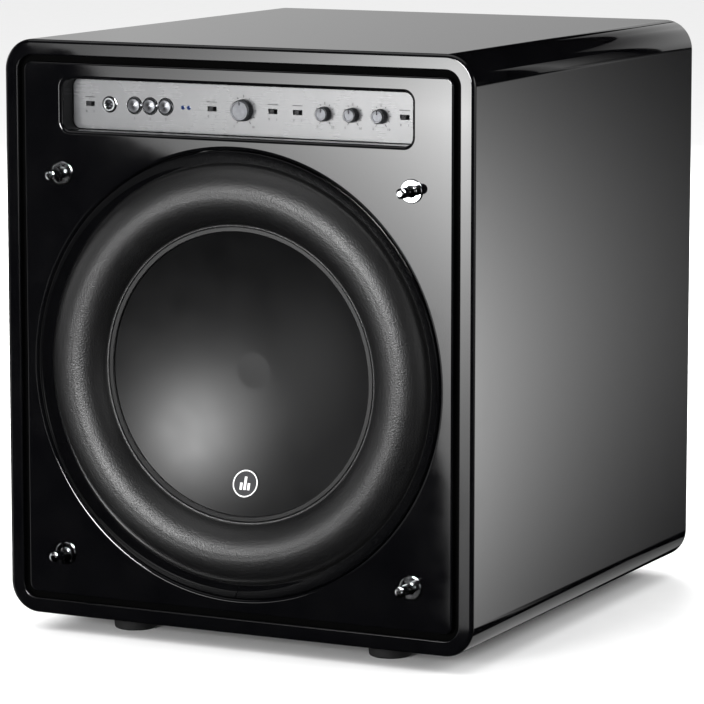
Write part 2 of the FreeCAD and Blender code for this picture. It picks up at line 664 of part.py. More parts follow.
def make_amp_electronics():
    inner = f"{REAR_Y} - amp_thick"
    middle = "sink_low + sink_high / 2"
    board_y = f"{inner} - amp_board_gap"
    node(block(("0", f"{board_y} - board_thick", middle), ("200", "board_thick", "124")), "amplifier_board")
    corners = [(f"{x}", f"{middle} + {up}") for x in (-90, 90) for up in (-52, 52)]
    node(group([rod((x, board_y, z), "4", "amp_board_gap") for x, z in corners]), "board_standoffs")
    cans = [rod((x, f"{board_y} - board_thick - 32", f"{middle} + {up}"), "12", "32")
            for x in (-60, -25) for up in (-28, 28)]
    node(group(cans), "capacitors")
    centre = ("transformer_x", f"{inner} - transformer_deep", "foot_height + transformer_z")
    winding = turned("winding", centre, [
        ("8", "12"), ("0", "20"), ("0", "transformer_radius - 9", "9", 1), ("9", "transformer_radius"),
        ("transformer_deep - 9", "transformer_radius", "9", 1),
        ("transformer_deep", "transformer_radius - 9"), ("transformer_deep", "20"),
        ("transformer_deep - 8", "12"),
    ])
    node(winding, "transformer")


def make_mains_inlet():
    z = "foot_height + inlet_z"
    flange = block(("inlet_x", REAR_Y, z), ("50", "2.5", "48"))
    case = block(("inlet_x", f"{REAR_Y} - 24", z), ("30", "25", "40"))
    mouth = block(("inlet_x", f"{REAR_Y} - 14", f"{z} + 8"), ("24", "20", "16"))
    slot = block(("inlet_x", f"{REAR_Y} - 20", f"{z} - 12.5"), ("22.8", "25", "8.8"))
    node(cut(fuse([flange, case]), [mouth, slot]), "mains_inlet")
    pins = [block((f"inlet_x + {shift}", f"{REAR_Y} - 14", f"{z} + 8 + {up}"), ("2", "13", "4"))
            for shift, up in ((-7, -3), (7, -3), (0, 3))]
    node(group(pins), "inlet_pins")
    tray = block(("inlet_x", f"{REAR_Y} - 19", f"{z} - 12.5"), ("22", "22.5", "8"))
    lip = block(("inlet_x", f"{REAR_Y} + 2.9", f"{z} - 12.5"), ("25", "1.6", "10"))
    node(fuse([tray, lip]), "fuse_drawer")


def make_line_inputs():
    sockets = []
    for x, z in line_spots():
        flange = block((x, REAR_Y, f"{z} + 2"), ("26", "2", "38"))
        barrel = rod((x, f"{REAR_Y} - 20", z), "barrel_radius", "21")
        groove = cut(rod((x, f"{REAR_Y} - 12", z), "9.6", "16"), [rod((x, f"{REAR_Y} - 12", z), "7.6", "16")])
        pins = [rod((f"{x} + 4.6 * cos({turn})", f"{REAR_Y} - 10", f"{z} + 4.6 * sin({turn})"), "1.3", "16")
                for turn in (30, 150, 270)]
        room = block((x, f"{REAR_Y} - 1", f"{z} + 15"), ("7.6", "4", "4.2"))
        sockets.append(cut(fuse([flange, barrel]), [groove, room] + pins))
    node(group(sockets), "line_input_sockets")
    for side, (x, z) in zip(("left", "right"), line_spots()):
        node(block((x, f"{REAR_Y} - 6", f"{z} + 15"), ("7", "10.5", "3.6")), f"{side}_latch_tab")
    phono = [
        ("-9", "0"), ("-9", "4"), ("0", "4"), ("0", "6.5"), ("1.5", "6.5"), ("1.5", "4.2"), ("9", "4.2"),
        ("9", "1.7"), ("1", "1.7"), ("1", "0"),
    ]
    node(group([turned("phono", (x, REAR_Y, z), phono) for x, z in phono_spots()]), "phono_sockets")


def make_amplifier():
    make_amp_plate()
    make_heatsink()
    make_amp_electronics()
    make_mains_inlet()
    make_line_inputs()


def check_document():
    """Stop if any object failed or any node's shape is not whole."""
    failed = [item.Label for item in doc.Objects if "Invalid" in item.State or "Error" in item.State]
    unsound = [item.Label for item in nodes if item.Shape.isNull() or not item.Shape.isValid()]
    if failed or unsound:
        raise RuntimeError(f"failed: {failed}, not valid: {unsound}")


def write_parts():
    os.makedirs("parts", exist_ok=True)
    for item in nodes:
        item.Shape.exportStep(f"parts/{item.Label}.step")


fill_sheet()
make_cabinet_shell()
make_front_baffle()
make_rear_panel()
make_braces()
make_feet()
make_grille_studs()
make_driver_frame()
make_driver_fixings()
make_surround()
make_cone()
make_voice_coil()
make_spider()
make_motor()
make_control_panel()
make_amplifier()
doc.recompute()
check_document()
write_parts()
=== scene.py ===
"""Powered subwoofer: gloss cabinet, one long-throw driver, a recessed control panel and a plate amplifier.

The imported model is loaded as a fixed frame, each visible sub-assembly is modelled over it in millimetres
and scaled to metres, and every other part of the frame gets its own finish.
"""
from __future__ import annotations

import json
import logging
import math
from collections.abc import Iterable, Sequence
from dataclasses import dataclass, field, replace
from enum import Enum
from functools import lru_cache

import bmesh
import bpy
from mathutils import Matrix, Vector


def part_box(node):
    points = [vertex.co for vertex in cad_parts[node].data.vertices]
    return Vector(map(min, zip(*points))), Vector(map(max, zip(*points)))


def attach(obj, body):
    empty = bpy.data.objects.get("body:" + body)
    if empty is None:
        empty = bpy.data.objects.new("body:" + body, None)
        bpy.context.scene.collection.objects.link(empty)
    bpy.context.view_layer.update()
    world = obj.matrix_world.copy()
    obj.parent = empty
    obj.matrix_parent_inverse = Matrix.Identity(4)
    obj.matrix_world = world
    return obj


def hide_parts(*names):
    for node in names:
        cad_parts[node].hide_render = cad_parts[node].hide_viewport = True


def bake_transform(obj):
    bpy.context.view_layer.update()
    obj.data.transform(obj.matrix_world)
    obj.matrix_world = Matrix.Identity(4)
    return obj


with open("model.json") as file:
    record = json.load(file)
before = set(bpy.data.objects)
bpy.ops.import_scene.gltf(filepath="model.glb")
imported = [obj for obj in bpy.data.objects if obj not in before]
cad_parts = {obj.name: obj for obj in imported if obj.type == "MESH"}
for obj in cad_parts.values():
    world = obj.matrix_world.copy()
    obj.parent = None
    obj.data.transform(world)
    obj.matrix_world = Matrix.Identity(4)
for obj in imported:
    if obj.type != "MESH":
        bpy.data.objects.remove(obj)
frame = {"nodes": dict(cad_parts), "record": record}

log = logging.getLogger("subwoofer")
MM = 0.001
WELD = 0.002  # points nearer than this, in millimetres, are one
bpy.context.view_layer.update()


# Small tools

def linear(code: str) -> tuple[float, float, float, float]:
    """Turns an sRGB hex colour to linear light.

    Args:
        code: The colour as six hex digits.

    Returns:
        Red, green, blue and a full alpha.
    """
    parts = [int(code[start:start + 2], 16) / 255 for start in (0, 2, 4)]
    red, green, blue = (part / 12.92 if part <= 0.04045 else ((part + 0.055) / 1.055) ** 2.4
                        for part in parts)
    return red, green, blue, 1.0


def per_metre(size: float) -> float:
    """The texture scale that draws a pattern at a size in millimetres."""
    return 1 / (size * MM)


def feed(tree: bpy.types.NodeTree, node: bpy.types.Node, inputs: dict) -> None:
    """Sets or links a node's inputs.

    Args:
        tree: The node tree that the node is in.
        node: The node.
        inputs: Values, or the sockets to link from, by the input's name or number.
    """
    for key, given in inputs.items():
        if isinstance(given, bpy.types.NodeSocket):
            tree.links.new(given, node.inputs[key])
        else:
            node.inputs[key].default_value = given


def add(tree: bpy.types.NodeTree, kind: str, inputs: dict | None = None,
        **settings: object) -> bpy.types.Node:
    """Adds one node with its settings, and sets or links its inputs.

    Args:
        tree: The node tree that the node goes into.
        kind: The node's type.
        inputs: What goes into it, as for feed.
        **settings: The node's own settings.

    Returns:
        The new node.
    """
    made = tree.nodes.new(kind)
    for name, choice in settings.items():
        setattr(made, name, choice)
    feed(tree, made, inputs or {})
    return made


def span(node: str) -> tuple[Vector, Vector]:
    """A frame node's lowest and highest corners in millimetres."""
    low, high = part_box(node)
    return low / MM, high / MM


def middle(node: str) -> Vector:
    """The middle of a frame node's box in millimetres."""
    low, high = span(node)
    return (low + high) / 2


# Finishes

class Grain(Enum):
    """How a surface was made, which sets the pattern of its relief."""

    SPRAYED = "sprayed and polished: a long, very low wave"
    MOULDED = "moulded against a blasted tool: fine pits"
    FOAMED = "foamed rubber: open speckle"
    BRUSHED = "brushed: hairlines along the panel"
    SPUN = "turned on a lathe: rings about the Y axis"
    WOVEN = "woven: crossed threads"
    WOUND = "wound wire: turns side by side"
    ROLLED = "rolled and plated: soft clouds"


@dataclass(frozen=True)
class Finish:
    """What one surface is made of and how it was made.

    Attributes:
        title: The material's name.
        colour: Its main sRGB colour.
        tint: The sRGB colour that its clouds go to.
        roughness: Its roughness at the clouds' darkest.
        spread: How much rougher it is at the clouds' lightest.
        metallic: 1 for bare metal.
        ior: Index of refraction.
        grain: The pattern of its relief.
        size: The pattern's grain in millimetres; a wave repeats in about two thirds of it.
        height: The pattern's height in millimetres.
        cloud: The size of the soft changes of colour and gloss in millimetres.
        speckle: How much of the tint follows the grain instead of the clouds.
        centre: The middle of a turned pattern in millimetres.
        sheen: The weight of a dusty sheen at glancing angles.
        specular: The shader's own level of reflection, 0.5 for what the IOR gives.
        glow: The strength of light given off.
    """

    title: str
    colour: str
    tint: str
    roughness: float
    spread: float = 0.05
    metallic: float = 0.0
    ior: float = 1.5
    grain: Grain = Grain.MOULDED
    size: float = 0.5
    height: float = 0.01
    cloud: float = 30.0
    speckle: float = 0.0
    centre: tuple[float, float, float] = (0.0, 0.0, 0.0)
    sheen: float = 0.0
    specular: float = 0.5
    glow: float = 0.0

    def relief(self, tree: bpy.types.NodeTree, place: bpy.types.NodeSocket) -> bpy.types.NodeSocket:
        """Builds the grain's height.

        Args:
            tree: The material's node tree.
            place: The coordinates that the pattern is drawn in.

        Returns:
            A socket from 0 to 1.
        """
        scale, wave = per_metre(self.size), "ShaderNodeTexWave"
        if self.grain is Grain.WOUND:
            return add(tree, wave, {"Vector": place, "Scale": scale / 2, "Distortion": 0.2},
                       wave_type="BANDS", bands_direction="Y").outputs["Fac"]
        if self.grain is Grain.WOVEN:
            threads = [add(tree, wave, {"Vector": place, "Scale": scale / 2, "Distortion": 0.6,
                           "Detail": 1.0}, wave_type="BANDS", bands_direction=way).outputs["Fac"]
                       for way in "XZ"]
            return add(tree, "ShaderNodeMath", dict(enumerate(threads)), operation="MAXIMUM").outputs[0]
        if self.grain is Grain.SPUN:
            offset = [-part * MM for part in self.centre]
            moved = add(tree, "ShaderNodeMapping", {"Vector": place, "Location": offset}).outputs[0]
            return add(tree, wave, {"Vector": moved, "Scale": scale / 2, "Distortion": 0.4, "Detail": 2.0},
                       wave_type="RINGS", rings_direction="Y").outputs["Fac"]
        along = 0.02 if self.grain is Grain.BRUSHED else 1
        moved = add(tree, "ShaderNodeMapping", {"Vector": place, "Scale": (along, 1, 1)}).outputs[0]
        return add(tree, "ShaderNodeTexNoise", {"Vector": moved, "Scale": scale, "Detail": 2.0,
                   "Roughness": 0.6}).outputs["Fac"]

    @lru_cache(maxsize=None)
    def material(self) -> bpy.types.Material:
        """Builds the material, once for each finish.

        Returns:
            The material.
        """
        made = bpy.data.materials.new(self.title)
        made.use_nodes = True
        tree = made.node_tree
        shader = tree.nodes["Principled BSDF"]
        place = add(tree, "ShaderNodeTexCoord").outputs["Object"]
        cloud = add(tree, "ShaderNodeTexNoise",
                    {"Vector": place, "Scale": per_metre(self.cloud), "Detail": 3.0}).outputs["Fac"]
        grain = self.relief(tree, place)
        share = add(tree, "ShaderNodeMix", {"Factor": self.speckle, "A": cloud, "B": grain},
                    data_type="FLOAT").outputs[0]
        evened = add(tree, "ShaderNodeMapRange",
                     {"Value": share, "From Min": 0.3, "From Max": 0.7}).outputs[0]
        colour = add(tree, "ShaderNodeMix",
                     {"Factor": evened, 6: linear(self.colour), 7: linear(self.tint)},
                     data_type="RGBA").outputs[2]
        gloss = add(tree, "ShaderNodeMapRange", {"Value": evened, "To Min": self.roughness,
                    "To Max": self.roughness + self.spread}).outputs[0]
        bump = add(tree, "ShaderNodeBump",
                   {"Height": grain, "Distance": self.height * MM, "Strength": 1.0}).outputs[0]
        feed(tree, shader, {
            "Base Color": colour, "Roughness": gloss, "Normal": bump, "Metallic": self.metallic,
            "IOR": self.ior, "Sheen Weight": self.sheen, "Specular IOR Level": self.specular})
        if self.glow:
            feed(tree, shader, {"Emission Color": linear(self.tint), "Emission Strength": self.glow})
        return made


# Polyurethane lacquer, sprayed and polished: deep black that mirrors the studio, with the faintest wave
LACQUER = Finish("polyurethane_lacquer", "040405", "070708", 0.02, 0.03, grain=Grain.SPRAYED, size=45,
                 height=0.004)
# Fibreboard: pressed brown fibres, dull
FIBREBOARD = Finish("fibreboard", "8d6b47", "a98257", 0.8, 0.1, grain=Grain.FOAMED, size=1.2,
                    height=0.08, speckle=0.6)
# Foamed nitrile rubber: charcoal and dull, with a speckle that catches the light, drawn coarser than it is
# so that it shows
FOAM_RUBBER = Finish("foamed_rubber", "050506", "0e0e0f", 0.38, 0.12, grain=Grain.FOAMED, size=1.3,
                     height=0.3, cloud=12, speckle=0.85, ior=1.52, specular=0.8)
# Solid rubber: black and matt
RUBBER = Finish("moulded_rubber", "09090a", "101011", 0.7, 0.1, size=0.8, height=0.03, ior=1.52)
# Talc-filled polypropylene: black satin that spreads a highlight softly over the cone
CONE_SKIN = Finish("satin_polypropylene", "040405", "070708", 0.36, 0.04, size=0.7, height=0.004)
# ABS with a gloss coat: the ring round the driver mirrors like the cabinet
GLOSS_ABS = Finish("gloss_abs", "050506", "080809", 0.04, 0.03, grain=Grain.SPRAYED, size=30,
                   height=0.003)
# Moulded ABS: black with a fine blasted texture
MOULDED_ABS = Finish("moulded_abs", "17171a", "222226", 0.45, 0.1, size=0.6, height=0.03)
# Chromed brass: a clear mirror
CHROME = Finish("polished_chrome", "d9dadc", "c8c9cc", 0.05, 0.05, metallic=1, grain=Grain.ROLLED,
                size=9, height=0.004, cloud=5)
# Satin silver enamel on aluminium, brushed along the panel: pale, with soft hairlines
PANEL_METAL = Finish("brushed_silver_enamel", "515254", "5d5e60", 0.24, 0.06, grain=Grain.BRUSHED,
                     size=0.55, height=0.006, speckle=0.25, specular=0.9, ior=1.65)
# Turned aluminium, clear anodised: rings that fan the light across the knobs
TURNED_METAL = Finish("turned_aluminium", "6e6f72", "626366", 0.36, 0.08, metallic=1, grain=Grain.SPUN,
                      size=0.5, height=0.004, cloud=3)
# Black anodised aluminium: satin, a little warm
BLACK_ANODISED = Finish("black_anodised_aluminium", "1b1b1d", "262629", 0.34, 0.1, metallic=0.6,
                        grain=Grain.BRUSHED, size=0.6, height=0.01, speckle=0.4)
# Zinc-plated steel: grey with soft clouds
ZINC_STEEL = Finish("zinc_plated_steel", "9fa3a6", "b6babd", 0.32, 0.12, metallic=1, grain=Grain.ROLLED,
                    size=4, height=0.01, cloud=9)
# Powder-coated steel: black with the fine orange peel of the coat
BLACK_STEEL = Finish("powder_coated_steel", "151516", "202022", 0.42, 0.1, size=1.4, height=0.03)
# Enamelled copper wire, wound: amber turns side by side
COPPER_WIRE = Finish("wound_copper_wire", "b5683a", "8a4a26", 0.3, 0.1, metallic=1, grain=Grain.WOUND,
                     size=0.9, height=0.2, speckle=0.7)
# Sintered ferrite: dark grey, dry
FERRITE = Finish("sintered_ferrite", "2c2c2e", "3a3a3d", 0.65, 0.15, size=1.8, height=0.05)
# Resin-treated cotton: yellow-brown crossed threads
TREATED_CLOTH = Finish("treated_cotton_cloth", "a8842f", "7d5f1e", 0.75, 0.1, grain=Grain.WOVEN,
                       size=0.9, height=0.15, speckle=0.7, sheen=0.2)
# Glass-epoxy board with solder mask: green, half gloss
BOARD = Finish("glass_epoxy_board", "0f5a33", "0b4a29", 0.3, 0.1, grain=Grain.WOVEN, size=1.1,
               height=0.01)
# Clear tinted lens with the lamp off behind it, given a faint painted glow
LENS = Finish("tinted_lens_painted_glow", "0b1a3a", "14306a", 0.08, 0.04, size=1, height=0.005, glow=0.15)
# Polyimide film: amber, smooth
FILM = Finish("polyimide_film", "b0792a", "9a6620", 0.25, 0.08, size=2, height=0.005)
# Gold-flashed brass
BRASS = Finish("plated_brass", "c9a35a", "b48d47", 0.2, 0.1, metallic=1, grain=Grain.ROLLED, size=3,
               height=0.006, cloud=4)
# Screen ink, black and white
BLACK_INK = Finish("black_screen_ink", "060607", "0c0c0d", 0.6, 0.1, size=0.3, height=0.004,
                   specular=0.05)
WHITE_INK = Finish("white_screen_ink", "e6e6e4", "f2f2f0", 0.5, 0.1, size=0.3, height=0.004)
# Matt near-black on the groove floor round the baffle: painted shade in the recess
GROOVE_SHADE = Finish("painted_groove_shade", "010101", "030303", 0.7, 0.1, size=1.5, height=0.04,
                 specular=0.03)
# Matt studio paper
FLOOR_PAPER = Finish("white_studio_paper", "f7f7f7", "f9f9f9", 0.9, 0.05, size=2, height=0.002,
                     specular=0.0)

FRAME_FINISHES: dict[str, Finish] = {
    "gloss_lacquer": LACQUER, "fibreboard": FIBREBOARD, "rubber": RUBBER, "foam_rubber": FOAM_RUBBER,
    "moulded_plastic": MOULDED_ABS, "gloss_plastic": GLOSS_ABS, "chrome": CHROME,
    "brushed_aluminium": PANEL_METAL, "black_anodised": BLACK_ANODISED, "zinc_steel": ZINC_STEEL,
    "black_steel": BLACK_STEEL,
    "copper_wire": COPPER_WIRE, "ferrite": FERRITE, "treated_cloth": TREATED_CLOTH, "glass_epoxy": BOARD,
    "indicator_lens": LENS, "film": FILM, "brass": BRASS,
}


# Shapes

def stand(shape: bmesh.types.BMesh, verts: Sequence[bmesh.types.BMVert], at: Vector) -> None:
    """Turns a level face to look forward, and moves it to its place.

    Args:
        shape: The face's mesh.
        verts: Its corners.
        at: Where its middle goes.
    """
    bmesh.ops.rotate(shape, cent=(0, 0, 0), matrix=Matrix.Rotation(math.pi / 2, 3, "X"), verts=verts)
    bmesh.ops.translate(shape, vec=at, verts=verts)


def outline(shape: bmesh.types.BMesh, width: float, height: float, corner: float, at: Vector,
            segments: int = 8) -> bmesh.types.BMFace:
    """Draws a rounded rectangle that faces forward.

    Args:
        shape: The mesh it goes into.
        width: Its size along X.
        height: Its size along Z.
        corner: The radius of its corners.
        at: Its middle.
        segments: The number of steps in each corner.

    Returns:
        The face.
    """
    verts = bmesh.ops.create_grid(shape, x_segments=1, y_segments=1, size=0.5)["verts"]
    bmesh.ops.scale(shape, vec=(width, height, 1), verts=verts)
    rounded = bmesh.ops.bevel(shape, geom=verts, offset=corner, offset_type="OFFSET", segments=segments,
                              profile=0.5, affect="VERTICES", material=-1)
    face = rounded["verts"][0].link_faces[0]
    stand(shape, face.verts[:], at)
    return face


def disc(shape: bmesh.types.BMesh, radius: float, at: Vector, segments: int) -> bmesh.types.BMFace:
    """Draws a round face that faces forward.

    Args:
        shape: The mesh it goes into.
        radius: Its radius.
        at: Its middle.
        segments: The number of its sides.

    Returns:
        The face.
    """
    verts = bmesh.ops.create_circle(shape, cap_ends=True, radius=radius, segments=segments)["verts"]
    stand(shape, verts, at)
    return verts[0].link_faces[0]


def into(radius: float, steps: int = 5) -> list[tuple[float, float]]:
    """Steps of (inward, back) that round an edge from the front down into a hole."""
    turns = [math.pi / 2 * step / steps for step in range(steps + 1)]
    return [(radius * (math.sin(b) - math.sin(a)), radius * (math.cos(a) - math.cos(b)))
            for a, b in zip(turns, turns[1:])]


def onto(radius: float, steps: int = 5) -> list[tuple[float, float]]:
    """Steps of (inward, back) that round an edge from a side up onto the front."""
    return [(back, -inward) for inward, back in into(radius, steps)]


def step_face(shape: bmesh.types.BMesh, face: bmesh.types.BMFace,
              steps: Iterable[tuple[float, float]]) -> None:
    """Insets a face again and again.

    Args:
        shape: The face's mesh.
        face: A face that looks forward, or back.
        steps: How far each inset goes inward, and away from the way the face looks.
    """
    for inward, back in steps:
        bmesh.ops.inset_individual(shape, faces=[face], thickness=inward, depth=-back, use_even_offset=True)


def open_face(shape: bmesh.types.BMesh, face: bmesh.types.BMFace) -> list[bmesh.types.BMEdge]:
    """Takes a face away.

    Args:
        shape: The face's mesh.
        face: The face.

    Returns:
        The edges that it leaves open.
    """
    edges = list(face.edges)
    bmesh.ops.delete(shape, geom=[face], context="FACES_ONLY")
    return edges


def fill_level(shape: bmesh.types.BMesh, level: float) -> None:
    """Fills the flat face between all the open edges that lie at one place along Y.

    Args:
        shape: The mesh.
        level: The place along Y.
    """
    edges = [edge for edge in shape.edges
             if edge.is_boundary and all(abs(vert.co.y - level) < 1e-3 for vert in edge.verts)]
    bmesh.ops.triangle_fill(shape, use_beauty=True, use_dissolve=False, edges=edges, normal=(0, -1, 0))


def draw_back(shape: bmesh.types.BMesh, edges: list[bmesh.types.BMEdge], distance: float) -> None:
    """Pulls a wall straight back from a loop of edges.

    Args:
        shape: The mesh.
        edges: The loop.
        distance: How deep the wall is.
    """
    made = bmesh.ops.extrude_edge_only(shape, edges=edges)["geom"]
    far = [part for part in made if isinstance(part, bmesh.types.BMVert)]
    bmesh.ops.translate(shape, vec=(0, distance, 0), verts=far)


def brick(shape: bmesh.types.BMesh, low: Sequence[float], high: Sequence[float], edge: float = 0.0) -> None:
    """Adds a block.

    Args:
        shape: The mesh it goes into.
        low: Its lowest corner.
        high: Its highest corner.
        edge: The rounding of its edges.
    """
    size = [b - a for a, b in zip(low, high)]
    centre = [(a + b) / 2 for a, b in zip(low, high)]
    verts = bmesh.ops.create_cube(shape, size=1)["verts"]
    bmesh.ops.scale(shape, vec=size, verts=verts)
    bmesh.ops.translate(shape, vec=centre, verts=verts)
    if edge:
        edges = list({line for vert in verts for line in vert.link_edges})
        bmesh.ops.bevel(shape, geom=edges, offset=edge, segments=2, profile=0.5, affect="EDGES",
                        material=-1)


class Turning:
    """An outline in the (radius, depth) plane that is turned about the Y axis."""

    def __init__(self, radius: float, depth: float) -> None:
        """Starts the outline at a point."""
        self.shape = bmesh.new()
        self.first = self.tip = self.shape.verts.new((radius, depth, 0))

    def line(self, radius: float, depth: float) -> Turning:
        """Draws straight to a point.

        Args:
            radius: The point's distance from the axis.
            depth: The point's depth.

        Returns:
            The outline.
        """
        point = self.shape.verts.new((radius, depth, 0))
        self.shape.edges.new((self.tip, point))
        self.tip = point
        return self

    def arc(self, radius: float, depth: float, curve: float, steps: int = 8) -> Turning:
        """Draws an arc to a point.

        Args:
            radius: The point's distance from the axis.
            depth: The point's depth.
            curve: The arc's radius, above zero where it turns from +radius towards +depth.
            steps: The number of edges in it.

        Returns:
            The outline.
        """
        start, end = self.tip.co.copy(), Vector((radius, depth, 0))
        chord = end - start
        reach = math.copysign(math.sqrt(max(curve * curve - chord.length_squared / 4, 0)), curve)
        centre = (start + end) / 2 + Vector((-chord.y, chord.x, 0)).normalized() * reach
        angle = math.copysign(2 * math.asin(min(chord.length / 2 / abs(curve), 1)), curve)
        swept = bmesh.ops.spin(self.shape, geom=[self.tip], cent=centre, axis=(0, 0, 1), angle=angle,
                               steps=steps)
        self.tip = next(part for part in swept["geom_last"] if isinstance(part, bmesh.types.BMVert))
        return self

    def close(self) -> Turning:
        """Joins the outline's end to its start."""
        self.shape.edges.new((self.tip, self.first))
        return self

    def turn(self, at: Sequence[float], steps: int = 96, gap: float = 0.0) -> bmesh.types.BMesh:
        """Turns the outline.

        Args:
            at: Where the axis's zero depth goes.
            steps: The number of faces round the axis.
            gap: The angle in degrees left open at the bottom.

        Returns:
            The mesh.
        """
        shape, opening = self.shape, math.radians(gap)
        geom = shape.verts[:] + shape.edges[:]
        if gap:
            start = Matrix.Rotation(math.pi / 2 + opening / 2, 3, "Y")
            bmesh.ops.rotate(shape, cent=(0, 0, 0), matrix=start, verts=shape.verts[:])
        bmesh.ops.spin(shape, geom=geom, cent=(0, 0, 0), axis=(0, 1, 0), angle=math.tau - opening,
                       steps=steps, use_merge=not gap)
        if gap:
            bmesh.ops.holes_fill(shape, edges=[edge for edge in shape.edges if edge.is_boundary], sides=0)
        bmesh.ops.remove_doubles(shape, verts=shape.verts[:], dist=WELD)
        bmesh.ops.translate(shape, vec=at, verts=shape.verts[:])
        return shape


def join(parts: Iterable[bmesh.types.BMesh]) -> bmesh.types.BMesh:
    """Puts several meshes into one.

    Args:
        parts: The meshes, which are used up.

    Returns:
        The one mesh.
    """
    whole = bmesh.new()
    for part in parts:
        mesh = bpy.data.meshes.new("part")
        part.to_mesh(mesh)
        part.free()
        whole.from_mesh(mesh)
        bpy.data.meshes.remove(mesh)
    return whole


def copied(node: str) -> bmesh.types.BMesh:
    """A merged copy of a frame node's mesh in millimetres, with its flat faces made whole.

    Args:
        node: The node's name.

    Returns:
        The mesh.
    """
    shape = bmesh.new()
    shape.from_mesh(frame["nodes"][node].data)
    bmesh.ops.scale(shape, vec=(1 / MM,) * 3, verts=shape.verts[:])
    bmesh.ops.remove_doubles(shape, verts=shape.verts[:], dist=WELD)
    bmesh.ops.dissolve_limit(shape, angle_limit=math.radians(0.5), verts=shape.verts[:],
                             edges=shape.edges[:])
    return shape


def lettering(text: str, height: float, at: Sequence[float], rear: bool = False) -> bmesh.types.BMesh:
    """A word or number as thin raised ink.

    Args:
        text: What it says.
        height: The height of its capitals in millimetres.
        at: Its middle.
        rear: Whether it faces backward instead of forward.

    Returns:
        The mesh.
    """
    capitals, ink = 0.7, 0.05
    curve = bpy.data.curves.new("lettering", "FONT")
    curve.body, curve.size, curve.extrude, curve.resolution_u = text, height / capitals, ink, 2
    curve.align_x, curve.align_y = "CENTER", "CENTER"
    holder = bpy.data.objects.new("lettering", curve)
    bpy.context.scene.collection.objects.link(holder)
    bpy.context.view_layer.update()
    mesh = bpy.data.meshes.new_from_object(holder.evaluated_get(bpy.context.evaluated_depsgraph_get()))
    shape = bmesh.new()
    shape.from_mesh(mesh)
    turned = Matrix.Rotation(math.pi if rear else 0, 4, "Z") @ Matrix.Rotation(math.pi / 2, 4, "X")
    bmesh.ops.transform(shape, matrix=Matrix.Translation(at) @ turned, verts=shape.verts[:])
    bpy.data.objects.remove(holder)
    bpy.data.curves.remove(curve)
    bpy.data.meshes.remove(mesh)
    return shape


def keep_flat(mesh: bpy.types.Mesh) -> None:
    """Shades each face that lies square to an axis dead flat, and starts its roundings from there.

    Args:
        mesh: The mesh, already smooth, with its sharp edges marked.
    """
    level, beside, sliver = 0.999, 0.85, 1e-10
    flat = {}
    for face in mesh.polygons:
        square = Vector([round(part) for part in face.normal])
        if square.length < 1.01 and square.dot(face.normal) > level:
            for vert in face.vertices:
                flat.setdefault(vert, set()).add(square.freeze())
    normals = [corner.vector.copy() for corner in mesh.corner_normals]
    for face in mesh.polygons:
        for loop in face.loop_indices:
            for normal in flat.get(mesh.loops[loop].vertex_index, ()):
                if normal.dot(face.normal) > beside or face.area < sliver:
                    normals[loop] = normal
    mesh.normals_split_custom_set(normals)


@dataclass
class Piece:
    """How one finished mesh joins the frame.

    Attributes:
        name: The piece's name.
        finish: What it is made of.
        slot: The record's material slot; not used.
        body: The body that it rides on, or None where it rides on none.
        stands_for: The frame nodes that it replaces.
        bevel: The width of the rounding on its remaining sharp edges in millimetres.
        crease: The angle in degrees above which an edge is sharp.
    """

    name: str
    finish: Finish
    slot: str
    body: str | None = "cabinet"
    stands_for: tuple[str, ...] = ()
    bevel: float = 0.0
    crease: float = 35.0

    def make(self, shape: bmesh.types.BMesh, recalculate: bool = True) -> bpy.types.Object:
        """Turns a mesh in millimetres into a piece.

        Args:
            shape: The mesh, which is used up.
            recalculate: Whether its faces are turned outward here.

        Returns:
            The piece.
        """
        if recalculate:
            bmesh.ops.remove_doubles(shape, verts=shape.verts[:], dist=WELD / 2)
            bmesh.ops.recalc_face_normals(shape, faces=shape.faces[:])
        bmesh.ops.scale(shape, vec=(MM,) * 3, verts=shape.verts[:])
        mesh = bpy.data.meshes.new(self.name)
        shape.to_mesh(mesh)
        shape.free()
        mesh.materials.append(self.finish.material())
        mesh.shade_smooth()
        mesh.set_sharp_from_angle(angle=math.radians(self.crease))
        piece = bpy.data.objects.new(self.name, mesh)
        bpy.context.scene.collection.objects.link(piece)
        if self.bevel:
            rounding = piece.modifiers.new("rounded_edges", "BEVEL")
            rounding.width, rounding.segments = self.bevel * MM, 2
            rounding.limit_method, rounding.angle_limit = "ANGLE", math.radians(40)
            rounding.use_clamp_overlap = True
            piece.modifiers.new("flat_faces", "WEIGHTED_NORMAL").keep_sharp = True
        else:
            keep_flat(mesh)
        if self.body:
            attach(piece, self.body)
        if self.stands_for:
            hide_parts(*self.stands_for)
        log.info("%s: %d faces", self.name, len(mesh.polygons))
        return piece


def roll_between(piece: bpy.types.Object) -> None:
    """Bakes the ring's place into its mesh, setting each vertex to its distance from the driver's axis for
    the bake and then putting it back.

    Args:
        piece: The ring, centred on the driver's axis.
    """
    axis = middle("cone").z * MM
    places = [vert.co.copy() for vert in piece.data.vertices]
    for vert in piece.data.vertices:
        vert.co = (math.hypot(vert.co.x, vert.co.z - axis), 0, 0)
    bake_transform(piece)
    for vert, place in zip(piece.data.vertices, places):
        vert.co = place


# Sub-assemblies

